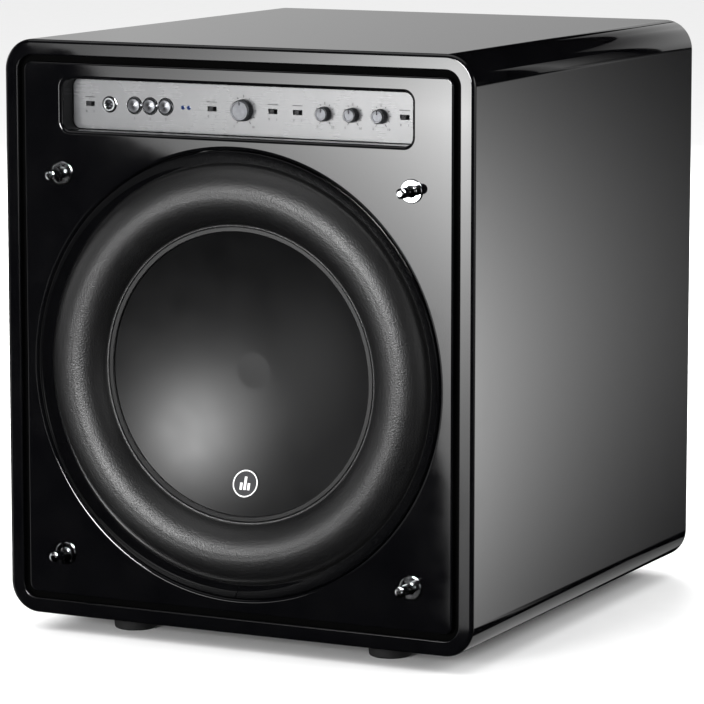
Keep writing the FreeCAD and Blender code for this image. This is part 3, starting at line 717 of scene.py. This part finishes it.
@dataclass
class Cabinet:
    """The lacquered box: a shell with a groove round its front, the baffle set into it, and the feet.

    Attributes:
        corner: The radius of the shell's long edges.
        wall: Its thickness.
        edge: The rounding round its front and rear.
        rim: How wide its front rim is.
        rim_edge: The rounding on the rim's inner edge.
        groove: How deep the groove is.
        baffle_edge: The rounding round the baffle.
        baffle_deep: The baffle's thickness.
        opening: The radius of the driver's opening.
        opening_edge: The rounding on that opening.
        seat: How far back the driver is seated.
        through: The radius of the hole behind the seat.
        panel: The control panel's opening, wide and high.
        panel_corner: The radius of its corners.
        panel_edge: The rounding round it.
        foot: The radius of a foot.
        stud: The radii of a stud's disc and of its pin.
    """

    corner: float = 25.0
    wall: float = 18.0
    edge: float = 3.0
    rim: float = 12.5
    rim_edge: float = 1.0
    groove: float = 6.0
    baffle_edge: float = 1.5
    baffle_deep: float = 36.0
    opening: float = 180.5
    opening_edge: float = 3.0
    seat: float = 19.5
    through: float = 158.0
    panel: tuple[float, float] = (312.0, 41.5)
    panel_corner: float = 7.0
    panel_edge: float = 3.0
    foot: float = 19.0
    stud: tuple[float, float] = (9.5, 4.1)

    def shell(self) -> None:
        """Makes the shell from insets of its front and rear faces, joined inside."""
        low, high = span("cabinet_shell")
        wide, tall, deep = high.x - low.x, high.z - low.z, high.y - low.y
        shape = bmesh.new()
        at = Vector((0, low.y + self.edge, (low.z + high.z) / 2))
        front = outline(shape, wide, tall, self.corner, at, 14)
        draw_back(shape, list(front.edges), deep - 2 * self.edge)
        behind = [edge for edge in shape.edges if edge.is_boundary]
        back = bmesh.ops.contextual_create(shape, geom=behind)["faces"][0]
        if back.normal.y < 0:
            back.normal_flip()
        walk = self.rim - self.edge - self.rim_edge
        groove = [(0, self.groove - self.rim_edge), (self.wall - self.rim, 0)]
        step_face(shape, front, onto(self.edge) + [(walk, 0)] + into(self.rim_edge, 3) + groove)
        step_face(shape, back, onto(self.edge) + [(self.wall - self.edge, 0)])
        bmesh.ops.bridge_loops(shape, edges=open_face(shape, front) + open_face(shape, back))
        piece = Piece("lacquered_shell", LACQUER, "gloss_lacquer", stands_for=("cabinet_shell",), crease=50)
        made = piece.make(shape)
        made.data.materials.append(GROOVE_SHADE.material())
        # The groove's floor takes the matt near-black of painted shade
        floor = (low.y + self.groove) * MM
        for face in made.data.polygons:
            face.material_index = int(abs(face.center.y - floor) < 0.01 * MM)

    def baffle(self) -> None:
        """Makes the baffle: a flat sheet filled between its own edge and the rims of its two openings."""
        low, high = span("front_baffle")
        shape = bmesh.new()
        at = Vector((0, low.y + self.baffle_edge, (low.z + high.z) / 2))
        sheet = outline(shape, high.x - low.x, high.z - low.z, self.corner - self.wall, at)
        draw_back(shape, list(sheet.edges), self.baffle_deep - self.baffle_edge)
        step_face(shape, sheet, onto(self.baffle_edge, 4))
        open_face(shape, sheet)
        axis, panel = middle("cone").z, middle("control_plate").z
        hole = disc(shape, self.opening + self.opening_edge, Vector((0, low.y, axis)), 160)
        step_face(shape, hole, into(self.opening_edge, 6) + [(0, self.seat - self.opening_edge),
                  (self.opening - self.through, 0), (0, self.baffle_deep - self.seat)])
        open_face(shape, hole)
        wide, tall = (size + 2 * self.panel_edge for size in self.panel)
        corner = self.panel_corner + self.panel_edge
        slot = outline(shape, wide, tall, corner, Vector((0, low.y, panel)), 10)
        step_face(shape, slot, into(self.panel_edge, 6) + [(0, self.baffle_deep - self.panel_edge)])
        open_face(shape, slot)
        fill_level(shape, low.y)
        fill_level(shape, low.y + self.baffle_deep)
        piece = Piece("lacquered_baffle", LACQUER, "gloss_lacquer", stands_for=("front_baffle",), crease=50)
        piece.make(shape)

    def feet(self) -> None:
        """Makes the rubber feet: tapered, with a rounded tread and a screw well."""
        low, high = span("rubber_feet")
        radius, down = self.foot, Matrix.Rotation(-math.pi / 2, 3, "X")
        feet = []
        for x in (low.x + radius, high.x - radius):
            for y in (low.y + radius, high.y - radius):
                foot = Turning(radius - 3.2, 0).arc(radius - 1.6, -1.4, -1.6, 4).line(radius, -high.z)
                foot.line(2.5, -high.z).line(2.5, -7).line(7, -7).line(7, -0.8).line(7.8, 0).close()
                shape = foot.turn((0, 0, 0), 48)
                bmesh.ops.rotate(shape, cent=(0, 0, 0), matrix=down, verts=shape.verts[:])
                bmesh.ops.translate(shape, vec=(x, y, 0), verts=shape.verts[:])
                feet.append(shape)
        Piece("rubber_feet_turned", RUBBER, "rubber", stands_for=("rubber_feet",)).make(join(feet))

    def studs(self) -> None:
        """Makes the four chromed grille studs, each with a domed pin on a rounded disc."""
        low, high = span("grille_studs")
        base, (wide, pin) = span("front_baffle")[0].y, self.stud
        reach, shank = base - low.y, 3
        studs = []
        for x in (low.x + wide, high.x - wide):
            for z in (low.z + wide, high.z - wide):
                stud = Turning(0, 12).line(shank, 12).line(shank, 0).line(wide, 0).line(wide, -0.7)
                stud.arc(wide - 0.8, -1.5, 0.8, 4).line(pin + 1.0, -1.5).arc(pin, -2.5, -1.0, 4)
                stud.line(pin, -reach + 2.2).arc(pin - 2.2, -reach, 2.2, 6).line(0, -reach)
                studs.append(stud.turn((x, base, z), 40))
        Piece("chromed_studs", CHROME, "chrome", stands_for=("grille_studs",)).make(join(studs))

    def build(self) -> None:
        """Makes every piece of the cabinet."""
        self.shell()
        self.baffle()
        self.feet()
        self.studs()


@dataclass
class Driver:
    """The loudspeaker: trim ring, rolled surround, dished cone with its badge, and the spider behind.

    Attributes:
        trim_outer: The trim ring's outer radius.
        trim_inner: Its inner radius.
        trim_deep: Its depth, where the surround starts.
        lip_curve: The radius of the curve down to its inner edge.
        seam: The gap in it at the bottom, in millimetres.
        roll: The outer and inner radius of the surround's roll.
        rise: How far the roll stands out.
        rubber: The surround's thickness.
        lip: The inner and outer radius of the cone's front lip.
        dish: The depth of the dish at its edge and in its middle.
        thick: The cone's thickness.
        badge: The badge's radius and thickness.
        badge_below: How far below the axis the badge sits.
        badge_gap: How far its back stands off the dish.
        spider_inner: The spider's inner radius.
        spider_waves: How many half waves the spider has.
    """

    trim_outer: float = 179.9
    trim_inner: float = 170.5
    trim_deep: float = 8.0
    lip_curve: float = 18.0
    seam: float = 0.8
    roll: tuple[float, float] = (170.0, 121.0)
    rise: float = 16.8
    rubber: float = 2.0
    lip: tuple[float, float] = (114.6, 119.2)
    dish: tuple[float, float] = (10.2, 34.0)
    thick: float = 3.0
    badge: tuple[float, float] = (11.75, 1.2)
    badge_below: float = 90.0
    badge_gap: float = 0.27
    spider_inner: float = 38.1
    spider_waves: int = 5

    def axis(self) -> Vector:
        """Where the driver's axis meets the front plane."""
        return Vector((0, span("front_baffle")[0].y, middle("cone").z))

    def dish_curve(self) -> float:
        """The radius of the sphere that the dish is part of."""
        drop = self.dish[1] - self.dish[0]
        return (self.lip[0] ** 2 + drop ** 2) / (2 * drop)

    def trim(self) -> None:
        """Makes the gloss ring, split by its seam at the bottom."""
        ring = Turning(self.trim_inner, self.trim_deep).line(self.trim_outer, self.trim_deep)
        ring.line(self.trim_outer, 0.9).arc(self.trim_outer - 0.8, 0.1, 0.8, 4)
        ring.arc(self.trim_inner + 0.3, self.trim_deep - 1.4, self.lip_curve, 10)
        ring.arc(self.trim_inner, self.trim_deep - 0.9, 0.5, 3).close()
        gap = math.degrees(self.seam / self.trim_inner)
        piece = Piece("gloss_trim_ring", GLOSS_ABS, "gloss_plastic", stands_for=("trim_ring",), crease=50)
        piece.make(ring.turn(self.axis(), 180, gap))

    def surround(self) -> None:
        """Makes the rolled surround, from its outer edge on the trim ring to its inner edge at the cone's
        lip.
        """
        outer, inner = self.roll
        chord, front, back = outer - inner, self.trim_deep, self.trim_deep + self.rubber
        curve = ((chord / 2) ** 2 + self.rise ** 2) / (2 * self.rise)
        ring = Turning(self.trim_outer - 0.4, front).line(outer + 1.2, front)
        ring.arc(outer - 0.9, front - 1.9, 2.2, 3).arc(inner + 0.9, front - 1.9, -(curve - 0.3), 40)
        ring.arc(inner - 1.2, front, 2.2, 3)
        ring.line(self.lip[1] + 0.3, front).line(self.lip[1] + 0.3, back).line(inner + 2, back)
        ring.arc(outer - 2, back, curve - self.rubber, 30).line(self.trim_outer - 0.4, back).close()
        piece = Piece("rolled_surround", FOAM_RUBBER, "foam_rubber", None, ("surround",), crease=60)
        made = piece.make(ring.turn(self.axis(), 180))
        roll_between(made)

    def cone(self) -> None:
        """Makes the cone: a shallow dish inside a raised lip."""
        inner, outer = self.lip
        edge, centre = self.dish
        front, back = 8.0, edge + self.thick
        profile = Turning(0, centre).arc(inner, edge, -self.dish_curve(), 36)
        profile.line(inner + 0.25, front + 0.5).arc(inner + 0.8, front, -0.6, 3)
        profile.line(outer - 0.8, front).arc(outer, front + 0.8, -0.8, 4).line(outer, back)
        profile.arc(42, 36.5, self.dish_curve(), 20).line(42, 39).line(34, 39).line(34, 37).line(0, 37)
        piece = Piece("dished_cone", CONE_SKIN, "gloss_plastic", "cone_assembly", ("cone",), crease=40)
        piece.make(profile.turn(self.axis(), 144))

    def on_dish(self, shape: bmesh.types.BMesh, rise: float) -> bmesh.types.BMesh:
        """Tilts a mesh about the Y axis's zero onto the dish, at the badge's place.

        Args:
            shape: The mesh, whose zero depth goes onto the dish.
            rise: How far its zero depth stands off the dish.

        Returns:
            The same mesh.
        """
        sphere = self.dish_curve()
        lean = math.asin(self.badge_below / sphere)
        reach = sphere - rise
        spot = Vector((0, self.dish[1] - sphere + reach * math.cos(lean), -reach * math.sin(lean)))
        tilt = Matrix.Translation(self.axis() + spot) @ Matrix.Rotation(-lean, 4, "X")
        bmesh.ops.transform(shape, matrix=tilt, verts=shape.verts[:])
        return shape

    def emblem(self) -> None:
        """Makes the badge: a black disc with a white ring and plain marks."""
        radius, thick = self.badge
        plate = Turning(0, thick).line(radius, thick).line(radius, 0.5)
        plate.arc(radius - 0.5, 0, 0.5, 4).line(0, 0)
        shape = self.on_dish(plate.turn((0, 0, 0), 64), self.badge_gap + thick)
        Piece("badge_disc", MOULDED_ABS, "moulded_plastic", "cone_assembly", ("cone_badge",)).make(shape)
        band = Turning(radius - 1.6, 0.1).line(radius - 0.6, 0.1).line(radius - 0.6, -0.06)
        parts = [band.line(radius - 1.6, -0.06).close().turn((0, 0, 0), 64)]
        for x, top in ((-3.4, 0.5), (0, 5.6), (3.4, 0.5)):
            bar = bmesh.new()
            brick(bar, (x - 1.1, -0.06, -5.2), (x + 1.1, 0.1, top), 0.04)
            parts.append(bar)
        marks = self.on_dish(join(parts), self.badge_gap + thick)
        Piece("badge_marks", WHITE_INK, "moulded_plastic", "cone_assembly").make(marks)

    def spider(self) -> None:
        """Makes the corrugated cloth that centres the coil."""
        low, high = span("spider")
        outer, inner = (high.x - low.x) / 2, self.spider_inner
        depth = high.y - self.axis().y - 1
        step_out, bend, cloth = 9.8, 7.2, 0.6
        waves = Turning(inner, depth).line(39, depth)
        for step in range(self.spider_waves):
            waves.arc(39 + step_out * (step + 1), depth, bend if step % 2 else -bend, 8)
        waves.line(outer, depth)
        shape = waves.turn(self.axis(), 96)
        bmesh.ops.solidify(shape, geom=shape.faces[:], thickness=cloth)
        piece = Piece("corrugated_spider", TREATED_CLOTH, "treated_cloth", None, ("spider",), crease=60)
        roll_between(piece.make(shape))

    def build(self) -> None:
        """Makes every piece of the driver."""
        self.trim()
        self.surround()
        self.cone()
        self.emblem()
        self.spider()


@dataclass
class Knob:
    """One turned knob of the panel.

    Attributes:
        name: The control it turns.
        radius: Its radius.
        flutes: The number of grooves round its side.
    """

    name: str
    radius: float
    flutes: int

    def make(self) -> None:
        """Makes the knob's body with a chamfered, turned face and grooves, and its painted line."""
        node = f"{self.name}_knob"
        low, high = span(node)
        x, z, length = (low.x + high.x) / 2, (low.z + high.z) / 2, high.y - low.y
        edge, flute = self.radius - 0.4, 0.45
        body = Turning(0, 0.25).line(edge - 2.1, 0.25).line(edge - 1.8, 0).line(edge - 0.9, 0)
        body.arc(edge, 0.9, -0.9, 4).line(self.radius, length - 0.6).line(self.radius - 0.4, length)
        shape = body.line(3, length).line(3, 2.5).line(0, 2.5).turn((x, low.y, z), self.flutes * 4)
        for vert in shape.verts:
            out = Vector((vert.co.x - x, vert.co.z - z))
            part = round(math.atan2(out.y, out.x) / math.tau * self.flutes * 4) % 4
            if part == 0 and out.length > edge - 0.05 and vert.co.y > low.y + 0.6:
                vert.co.x -= out.x / out.length * flute
                vert.co.z -= out.y / out.length * flute
        metal = replace(TURNED_METAL, title=f"turned_aluminium_{self.name}", centre=(x, low.y, z))
        rides = f"{self.name}_control"
        Piece(f"{self.name}_knob_turned", metal, "brushed_aluminium", rides, (node,), crease=30).make(shape)
        line, top = bmesh.new(), z + self.radius - 1.2
        brick(line, (x - 0.45, low.y - 0.02, top - 3.2), (x + 0.45, low.y + 0.5, top), 0.05)
        Piece(f"{self.name}_knob_line", BLACK_INK, "moulded_plastic", rides).make(line)


@dataclass
class ControlPanel:
    """The recessed panel: a perforated plate, knobs, buttons, switches, a socket, lamps and printed marks.

    Attributes:
        knobs: The four knobs.
        buttons: The names of the press buttons.
        switches: The names of the slide switches.
        button_radius: The radius of a button.
        slot: A switch's slot, wide and high.
        corner: The radius of the plate's corners.
        shaft_hole: The radius of the hole behind a knob.
        socket_hole: The radius of the hole behind the microphone socket.
        lamp: The radius of a lamp.
        text: The height of the small numbers.
    """

    knobs: tuple[Knob, ...] = (Knob("level", 8.75, 36), Knob("frequency", 5.9, 24), Knob("trim", 5.9, 24),
                               Knob("phase", 5.9, 24))
    buttons: tuple[str, ...] = ("demo", "defeat", "calibrate")
    switches: tuple[str, ...] = ("power", "level_mode", "lights", "filter", "polarity")
    button_radius: float = 5.6
    slot: tuple[float, float] = (8.5, 4.2)
    corner: float = 6.5
    shaft_hole: float = 3.4
    socket_hole: float = 5.0
    lamp: float = 1.7
    text: float = 1.9

    def plate(self) -> None:
        """Makes the plate, filled between its edge and its holes, whose rims are eased."""
        low, high = span("control_plate")
        deep, level = high.y - low.y, middle("control_plate").z
        shape = bmesh.new()
        sheet = outline(shape, high.x - low.x, high.z - low.z, self.corner, Vector((0, low.y, level)))
        left, right = span("indicator_lights")
        rounds = [(middle(f"{knob.name}_knob").x, self.shaft_hole, 20) for knob in self.knobs]
        rounds += [(middle(f"{name}_button").x, self.button_radius + 0.35, 40) for name in self.buttons]
        rounds.append((middle("microphone_socket").x, self.socket_hole, 40))
        rounds += [(x, self.lamp, 20) for x in (left.x + self.lamp, right.x - self.lamp)]
        holes = [disc(shape, radius, Vector((x, low.y, level)), sides) for x, radius, sides in rounds]
        for name in self.switches:
            at = Vector((middle(f"{name}_switch_tab").x, low.y, level))
            holes.append(outline(shape, *self.slot, 0.5, at, 3))
        for hole in holes:
            step_face(shape, hole, into(0.25, 2) + [(0, deep - 0.25)])
            open_face(shape, hole)
        draw_back(shape, open_face(shape, sheet), deep)
        fill_level(shape, low.y)
        fill_level(shape, high.y)
        piece = Piece("perforated_plate", PANEL_METAL, "brushed_aluminium", stands_for=("control_plate",))
        piece.make(shape)

    def button_set(self) -> None:
        """Makes the domed buttons and the bright rings that they stand in."""
        face, radius = span("control_plate")[0].y, self.button_radius
        rings = []
        for name in self.buttons:
            node = f"{name}_button"
            low, high = span(node)
            at, length = (middle(node).x, low.y, middle(node).z), high.y - low.y
            cap = Turning(0, 0).arc(radius - 0.5, 1.1, -16, 10).arc(radius, 1.7, -0.7, 3)
            cap.line(radius, length - 2.8).line(radius + 0.9, length - 2.8).line(radius + 0.9, length - 1.4)
            cap.line(0, length - 1.4)
            metal = replace(TURNED_METAL, title=f"turned_aluminium_{name}", centre=at, roughness=0.3)
            piece = Piece(f"{node}_domed", metal, "brushed_aluminium", f"{name}_press_piece", (node,))
            piece.make(cap.turn(at, 48))
            ring = Turning(radius + 0.4, face).line(radius + 0.4, face - 0.7)
            ring.arc(radius + 0.8, face - 1.0, 0.5, 3).arc(radius + 1.6, face, -1.0, 4).close()
            rings.append(ring.turn((at[0], 0, at[2]), 48))
        Piece("button_rings", CHROME, "chrome").make(join(rings))

    def switch_tabs(self) -> None:
        """Makes the ribbed tabs of the slide switches."""
        for name in self.switches:
            node = f"{name}_switch_tab"
            low, high = span(node)
            shape = bmesh.new()
            brick(shape, (low.x, low.y + 0.5, low.z), high, 0.25)
            for step in range(4):
                left = low.x + 0.15 + step * (high.x - low.x - 0.3) / 4
                brick(shape, (left, low.y, low.z + 0.2), (left + 0.5, low.y + 0.8, high.z - 0.2), 0.12)
            piece = Piece(f"{name}_tab_ribbed", MOULDED_ABS, "moulded_plastic", f"{name}_switch", (node,))
            piece.make(shape)

    def fittings(self) -> None:
        """Makes the microphone socket's chromed collar and the two lamps."""
        low, high = span("microphone_socket")
        centre, face = middle("microphone_socket"), span("control_plate")[0].y
        back, bore, outside = high.y - face, 3.5, 6.65
        collar = Turning(bore, -0.9).arc(4.1, -1.6, 0.7, 3).line(5.2, -1.6).arc(outside, -0.3, -1.6, 5)
        collar.line(outside, 0).line(5, 0).line(5, back).line(0, back).line(0, 12).line(bore, 12).close()
        piece = Piece("socket_collar", CHROME, "chrome", stands_for=("microphone_socket",))
        piece.make(collar.turn((centre.x, face, centre.z), 56))
        low, high = span("indicator_lights")
        lamps = []
        back = high.y - face
        for x in (low.x + self.lamp, high.x - self.lamp):
            lamp = Turning(0, -0.9).arc(self.lamp, 0, -2.1, 6).line(self.lamp, back).line(0, back)
            lamps.append(lamp.turn((x, face, centre.z), 24))
        Piece("lamp_lenses", LENS, "indicator_lens", stands_for=("indicator_lights",)).make(join(lamps))

    def print_marks(self) -> None:
        """Prints the dials' ticks and numbers and the switches' plain marks."""
        centre, face = middle("control_plate").z, span("control_plate")[0].y
        thick, raised, sunk = 0.28, 0.05, 0.02
        marks, count = [], 11
        for knob in self.knobs:
            x = middle(f"{knob.name}_knob").x
            start = knob.radius + 1.3
            for step in range(count):
                turn = Matrix.Rotation(math.radians(-150 + 300 * step / (count - 1)), 4, "Y")
                tick = bmesh.new()
                length = 2.2 if step % 5 == 0 else 1.4
                brick(tick, (-thick, -raised, start), (thick, sunk, start + length))
                place = Matrix.Translation((x, face, centre)) @ turn
                bmesh.ops.transform(tick, verts=tick.verts[:], matrix=place)
                marks.append(tick)
            aside, below = knob.radius * 0.62 + 3.0, centre - knob.radius - 4.4
            for text, side in (("0", -1), ("10", 1)):
                marks.append(lettering(text, self.text, (x + side * aside, face, below)))
        for name in self.switches:
            x = middle(f"{name}_switch_tab").x
            for text, side in (("0", -1), ("1", 1)):
                marks.append(lettering(text, self.text, (x + side * 3.4, face, centre - 6.2)))
            rule = bmesh.new()
            brick(rule, (x - 4.5, face - raised, centre + 5.2), (x + 4.5, face + sunk, centre + 5.7))
            marks.append(rule)
        for number, name in enumerate(self.buttons, 1):
            marks.append(lettering(str(number), 2.2, (middle(f"{name}_button").x, face, centre - 10.4)))
        Piece("panel_print", BLACK_INK, "moulded_plastic").make(join(marks), recalculate=False)

    def build(self) -> None:
        """Makes every piece of the panel."""
        self.plate()
        for knob in self.knobs:
            knob.make()
        self.button_set()
        self.switch_tabs()
        self.fittings()
        self.print_marks()


@dataclass
class Amplifier:
    """The plate amplifier behind: frame nodes copied with their edges eased, and printed marks.

    Attributes:
        eased: The rounding of each node's edges in millimetres.
    """

    eased: dict[str, float] = field(default_factory=lambda: {
        "amplifier_plate": 0.6, "heatsink": 0.35, "amplifier_screws": 0.3, "mains_inlet": 0.5,
        "phono_sockets": 0.25, "line_input_sockets": 0.3, "rear_panel": 0.8})

    def build(self) -> None:
        """Makes the eased copies and the marks."""
        slots = {part["node"]: part["material_slot"] for part in frame["record"]["subparts"]}
        for node, width in self.eased.items():
            finish = FRAME_FINISHES[slots[node]]
            piece = Piece(f"{node}_eased", finish, slots[node], stands_for=(node,), bevel=width, crease=30)
            piece.make(copied(node), recalculate=False)
        self.print_marks()

    def print_marks(self) -> None:
        """Prints plain channel numbers by the sockets and marks by the switch."""
        face = span("amplifier_plate")[1].y
        line, phono, ground = span("line_input_sockets"), span("phono_sockets"), middle("ground_switch_tab")
        marks = []
        for low, high, drop in ((*line, 17), (*phono, 12)):
            for text, x in (("2", low.x + drop - 4), ("1", high.x - drop + 4)):
                marks.append(lettering(text, 3.2, (x, face, (low.z + high.z) / 2 - drop - 4), rear=True))
        for text, side in (("1", -1), ("0", 1)):
            marks.append(lettering(text, 2.4, (ground.x + side * 3.6, face, ground.z - 6.5), rear=True))
        Piece("rear_print", WHITE_INK, "moulded_plastic").make(join(marks), recalculate=False)


def dress_frame() -> None:
    """Gives every node of the frame its finish."""
    for part in frame["record"]["subparts"]:
        finish = FRAME_FINISHES[part["material_slot"]]
        if part["node"].endswith(("_knob", "_button")):
            finish = TURNED_METAL
        for holder in frame["nodes"][part["node"]].material_slots:
            holder.material = finish.material()


# Studio

@dataclass
class Card:
    """A soft light panel that only mirrors see.

    Attributes:
        name: The card's name.
        corners: Its corners, as metres.
        glow: Its brightness at its bright corner.
        bright: The place, in metres, where it is brightest.
        fade: How many metres it takes along each axis to fall to a third; 0 for no fall.
        bell: Whether the fall along Z is a smooth bell on both sides.
    """

    name: str
    corners: Sequence[Sequence[float]]
    glow: float
    bright: Sequence[float] = (0.0, 0.0, 0.0)
    fade: Sequence[float] = (0.0, 0.0, 0.0)
    bell: bool = False

    def material(self) -> bpy.types.Material:
        """Builds the card's glow, which falls off from its bright place.

        Returns:
            The material.
        """
        made = bpy.data.materials.new(self.name)
        made.use_nodes = True
        tree, math_node, vector_node = made.node_tree, "ShaderNodeMath", "ShaderNodeVectorMath"
        tree.nodes.clear()
        place = add(tree, "ShaderNodeTexCoord").outputs["Object"]
        share = [1 / length if length else 0 for length in self.fade]
        away = add(tree, vector_node, {0: place, 1: self.bright}, operation="SUBTRACT").outputs[0]
        scaled = add(tree, vector_node, {0: away, 1: share}, operation="MULTIPLY").outputs[0]
        apart = add(tree, vector_node, {0: scaled}, operation="ABSOLUTE").outputs[0]
        wide, deep, high = add(tree, "ShaderNodeSeparateXYZ", {0: apart}).outputs
        if self.bell:
            high = add(tree, math_node, {0: high, 1: high}, operation="MULTIPLY").outputs[0]
        total = add(tree, math_node, {0: wide, 1: deep}, operation="ADD").outputs[0]
        total = add(tree, math_node, {0: total, 1: high}, operation="ADD").outputs[0]
        fall = add(tree, math_node, {0: 1 / math.e, 1: total}, operation="POWER").outputs[0]
        power = add(tree, math_node, {0: fall, 1: self.glow}, operation="MULTIPLY").outputs[0]
        glow = add(tree, "ShaderNodeEmission", {"Strength": power})
        add(tree, "ShaderNodeOutputMaterial", {"Surface": glow.outputs[0]})
        return made

    def make(self) -> None:
        """Makes the card as one flat face."""
        shape = bmesh.new()
        shape.faces.new([shape.verts.new(corner) for corner in self.corners])
        mesh = bpy.data.meshes.new(self.name)
        shape.to_mesh(mesh)
        shape.free()
        mesh.materials.append(self.material())
        card = bpy.data.objects.new(self.name, mesh)
        bpy.context.scene.collection.objects.link(card)
        card.visible_camera = card.visible_diffuse = card.visible_shadow = False
        card.visible_transmission = card.visible_volume_scatter = False


def panel(axis: str, at: float, low: tuple[float, float],
          high: tuple[float, float]) -> list[tuple[float, ...]]:
    """The corners of an upright or level rectangle.

    Args:
        axis: The axis that it faces along.
        at: Its place on that axis.
        low: Its lowest corner along the other two.
        high: Its highest corner along the other two.

    Returns:
        Four corners in metres.
    """
    flat = [(low[0], low[1]), (high[0], low[1]), (high[0], high[1]), (low[0], high[1])]
    spot = "xyz".index(axis)
    return [(*corner[:spot], at, *corner[spot:]) for corner in flat]


@dataclass
class Studio:
    """The camera, the pale floor, the soft lights and the cards.

    Attributes:
        eye: The camera's place in metres.
        look: The camera's pitch below level and its turn to the left, in radians.
        lens: The focal length in millimetres on a 36 mm sensor.
        ambient: The brightness of the white surroundings.
    """

    eye: tuple[float, float, float] = (1.473, -2.9788, 0.7111)
    look: tuple[float, float] = (0.14863, 0.46057)
    lens: float = 203.33
    ambient: float = 0.9
    cards: tuple[Card, ...] = (
        Card("front_card", [(x, -3.0, z) for x, z in (
             (-1.86, 0.25), (-1.78, 0.243), (-1.734, 0.212), (-1.68, 0.11), (-1.62, 0.088), (-1.45, 0.03),
             (-1.22, -0.07), (-1.15, -0.15), (-1.127, -0.25), (-1.125, -0.36), (-1.108, -0.413),
             (-1.102, -0.49), (-1.099, -0.64), (-1.0, -0.64), (-1.0, 0.5), (-1.86, 0.5))],
             18, (-1.09, 0, 0.17), (0.36, 0, 0.31)),
        Card("side_card", panel("x", 1.5, (2.4, -1.0), (4.2, 0.6)), 2.6, (0, 2.6, -0.25), (0, 0.42, 0.42),
             True),
        Card("back_card", panel("y", 4.0, (-3.4, 0.4), (-1.0, 1.3)), 0.55, (-2.5, 0, 0), (3.6, 0, 0)),
        Card("left_card", panel("x", -3.0, (-1.6, 0.1), (1.6, 1.6)), 2.0, (0, 0, 0.9), (0, 1.2, 0.6), True),
        Card("side_card_high", panel("x", 1.5, (2.3, 0.26), (4.0, 1.35)), 0.6, (0, 2.6, 0), (0, 0.45, 0)),
        Card("right_card", panel("x", 3.6, (-1.8, -0.7), (1.2, 2.0)), 3.0, (0, 0, 1.0), (0, 1.6, 0.9), True),
        Card("low_card", panel("z", -1.5, (-0.6, 1.0), (1.49, 5.0)), 0.6, (0, 2.5, 0), (0, 2.0, 0)),
        Card("rear_card", panel("y", 3.6, (-0.8, 0.1), (1.2, 1.8)), 2.0, (0, 0, 0.8), (0.9, 0, 0.7), True),
        Card("left_front_card", panel("x", -3.4, (-4.8, -2.4), (-1.8, 0.9)), 2.0, (0, -3.2, -0.8),
             (0, 1.4, 0.8), True),
        Card("rear_right_card", panel("y", 3.6, (2.7, -2.4), (5.2, 0.9)), 2.0, (3.6, 0, -0.8),
             (1.4, 0, 0.8), True),
        Card("top_card", panel("z", 2.6, (-1.9, -1.6), (1.4, 1.2)), 1.5, (-0.6, -0.4, 0), (2.0, 2.0, 0)),
    )

    def camera(self) -> None:
        """Places the camera."""
        data = bpy.data.cameras.new("camera")
        data.lens, data.sensor_width, data.clip_end = self.lens, 36, 50
        holder = bpy.data.objects.new("camera", data)
        holder.location = self.eye
        pitch, turn = self.look
        holder.rotation_euler = (math.pi / 2 - pitch, 0, turn)
        bpy.context.scene.collection.objects.link(holder)
        bpy.context.scene.camera = holder

    def light(self, name: str, at: Sequence[float], to: Sequence[float], size: float, watts: float,
              mirrored: bool) -> None:
        """Adds a square soft light.

        Args:
            name: The light's name.
            at: Its place in metres.
            to: The point it faces.
            size: Its side in metres.
            watts: Its power.
            mirrored: Whether glossy surfaces show it.
        """
        data = bpy.data.lights.new(name, "AREA")
        data.shape, data.size, data.energy = "SQUARE", size, watts
        holder = bpy.data.objects.new(name, data)
        holder.location = at
        holder.rotation_euler = (Vector(to) - Vector(at)).to_track_quat("-Z", "Y").to_euler()
        holder.visible_camera, holder.visible_glossy = False, mirrored
        bpy.context.scene.collection.objects.link(holder)

    def floor(self) -> None:
        """Lays the pale floor."""
        shape = bmesh.new()
        bmesh.ops.create_grid(shape, x_segments=1, y_segments=1, size=12)
        mesh = bpy.data.meshes.new("floor")
        shape.to_mesh(mesh)
        shape.free()
        mesh.materials.append(FLOOR_PAPER.material())
        floor = bpy.data.objects.new("floor", mesh)
        bpy.context.scene.collection.objects.link(floor)
        floor.visible_glossy = False

    def build(self) -> None:
        """Sets up the whole studio."""
        scene = bpy.context.scene
        scene.view_settings.view_transform = "Standard"
        world = bpy.data.worlds.new("white_surroundings")
        scene.world = world
        world.use_nodes = True
        surroundings = {"Color": linear("ffffff"), "Strength": self.ambient}
        feed(world.node_tree, world.node_tree.nodes["Background"], surroundings)
        world.cycles_visibility.glossy = False
        self.camera()
        self.floor()
        for card in self.cards:
            card.make()
        self.light("cone_light", (-0.42, -2.9, 0.68), (0, -0.2, 0.22), 0.65, 66, True)
        self.light("overhead_light", (0, 0.2, 3.2), (0, 0, 0), 3.0, 45, False)
        self.light("rear_light", (-1.4, 2.8, 1.7), (0, 0.2, 0.2), 1.6, 110, False)
        self.light("right_light", (2.6, 0.2, 1.8), (0.4, 0, 0), 1.4, 30, False)
        self.light("left_light", (-2.6, -0.8, 1.8), (-0.4, 0, 0), 1.4, 30, False)


def main() -> None:
    """Builds the studio and every sub-assembly over the frame."""
    logging.basicConfig(level=logging.INFO, format="%(message)s")
    Studio().build()
    dress_frame()
    for assembly in (Cabinet(), Driver(), ControlPanel(), Amplifier()):
        log.info("building %s", type(assembly).__name__)
        assembly.build()


if __name__ == "__main__":
    main()
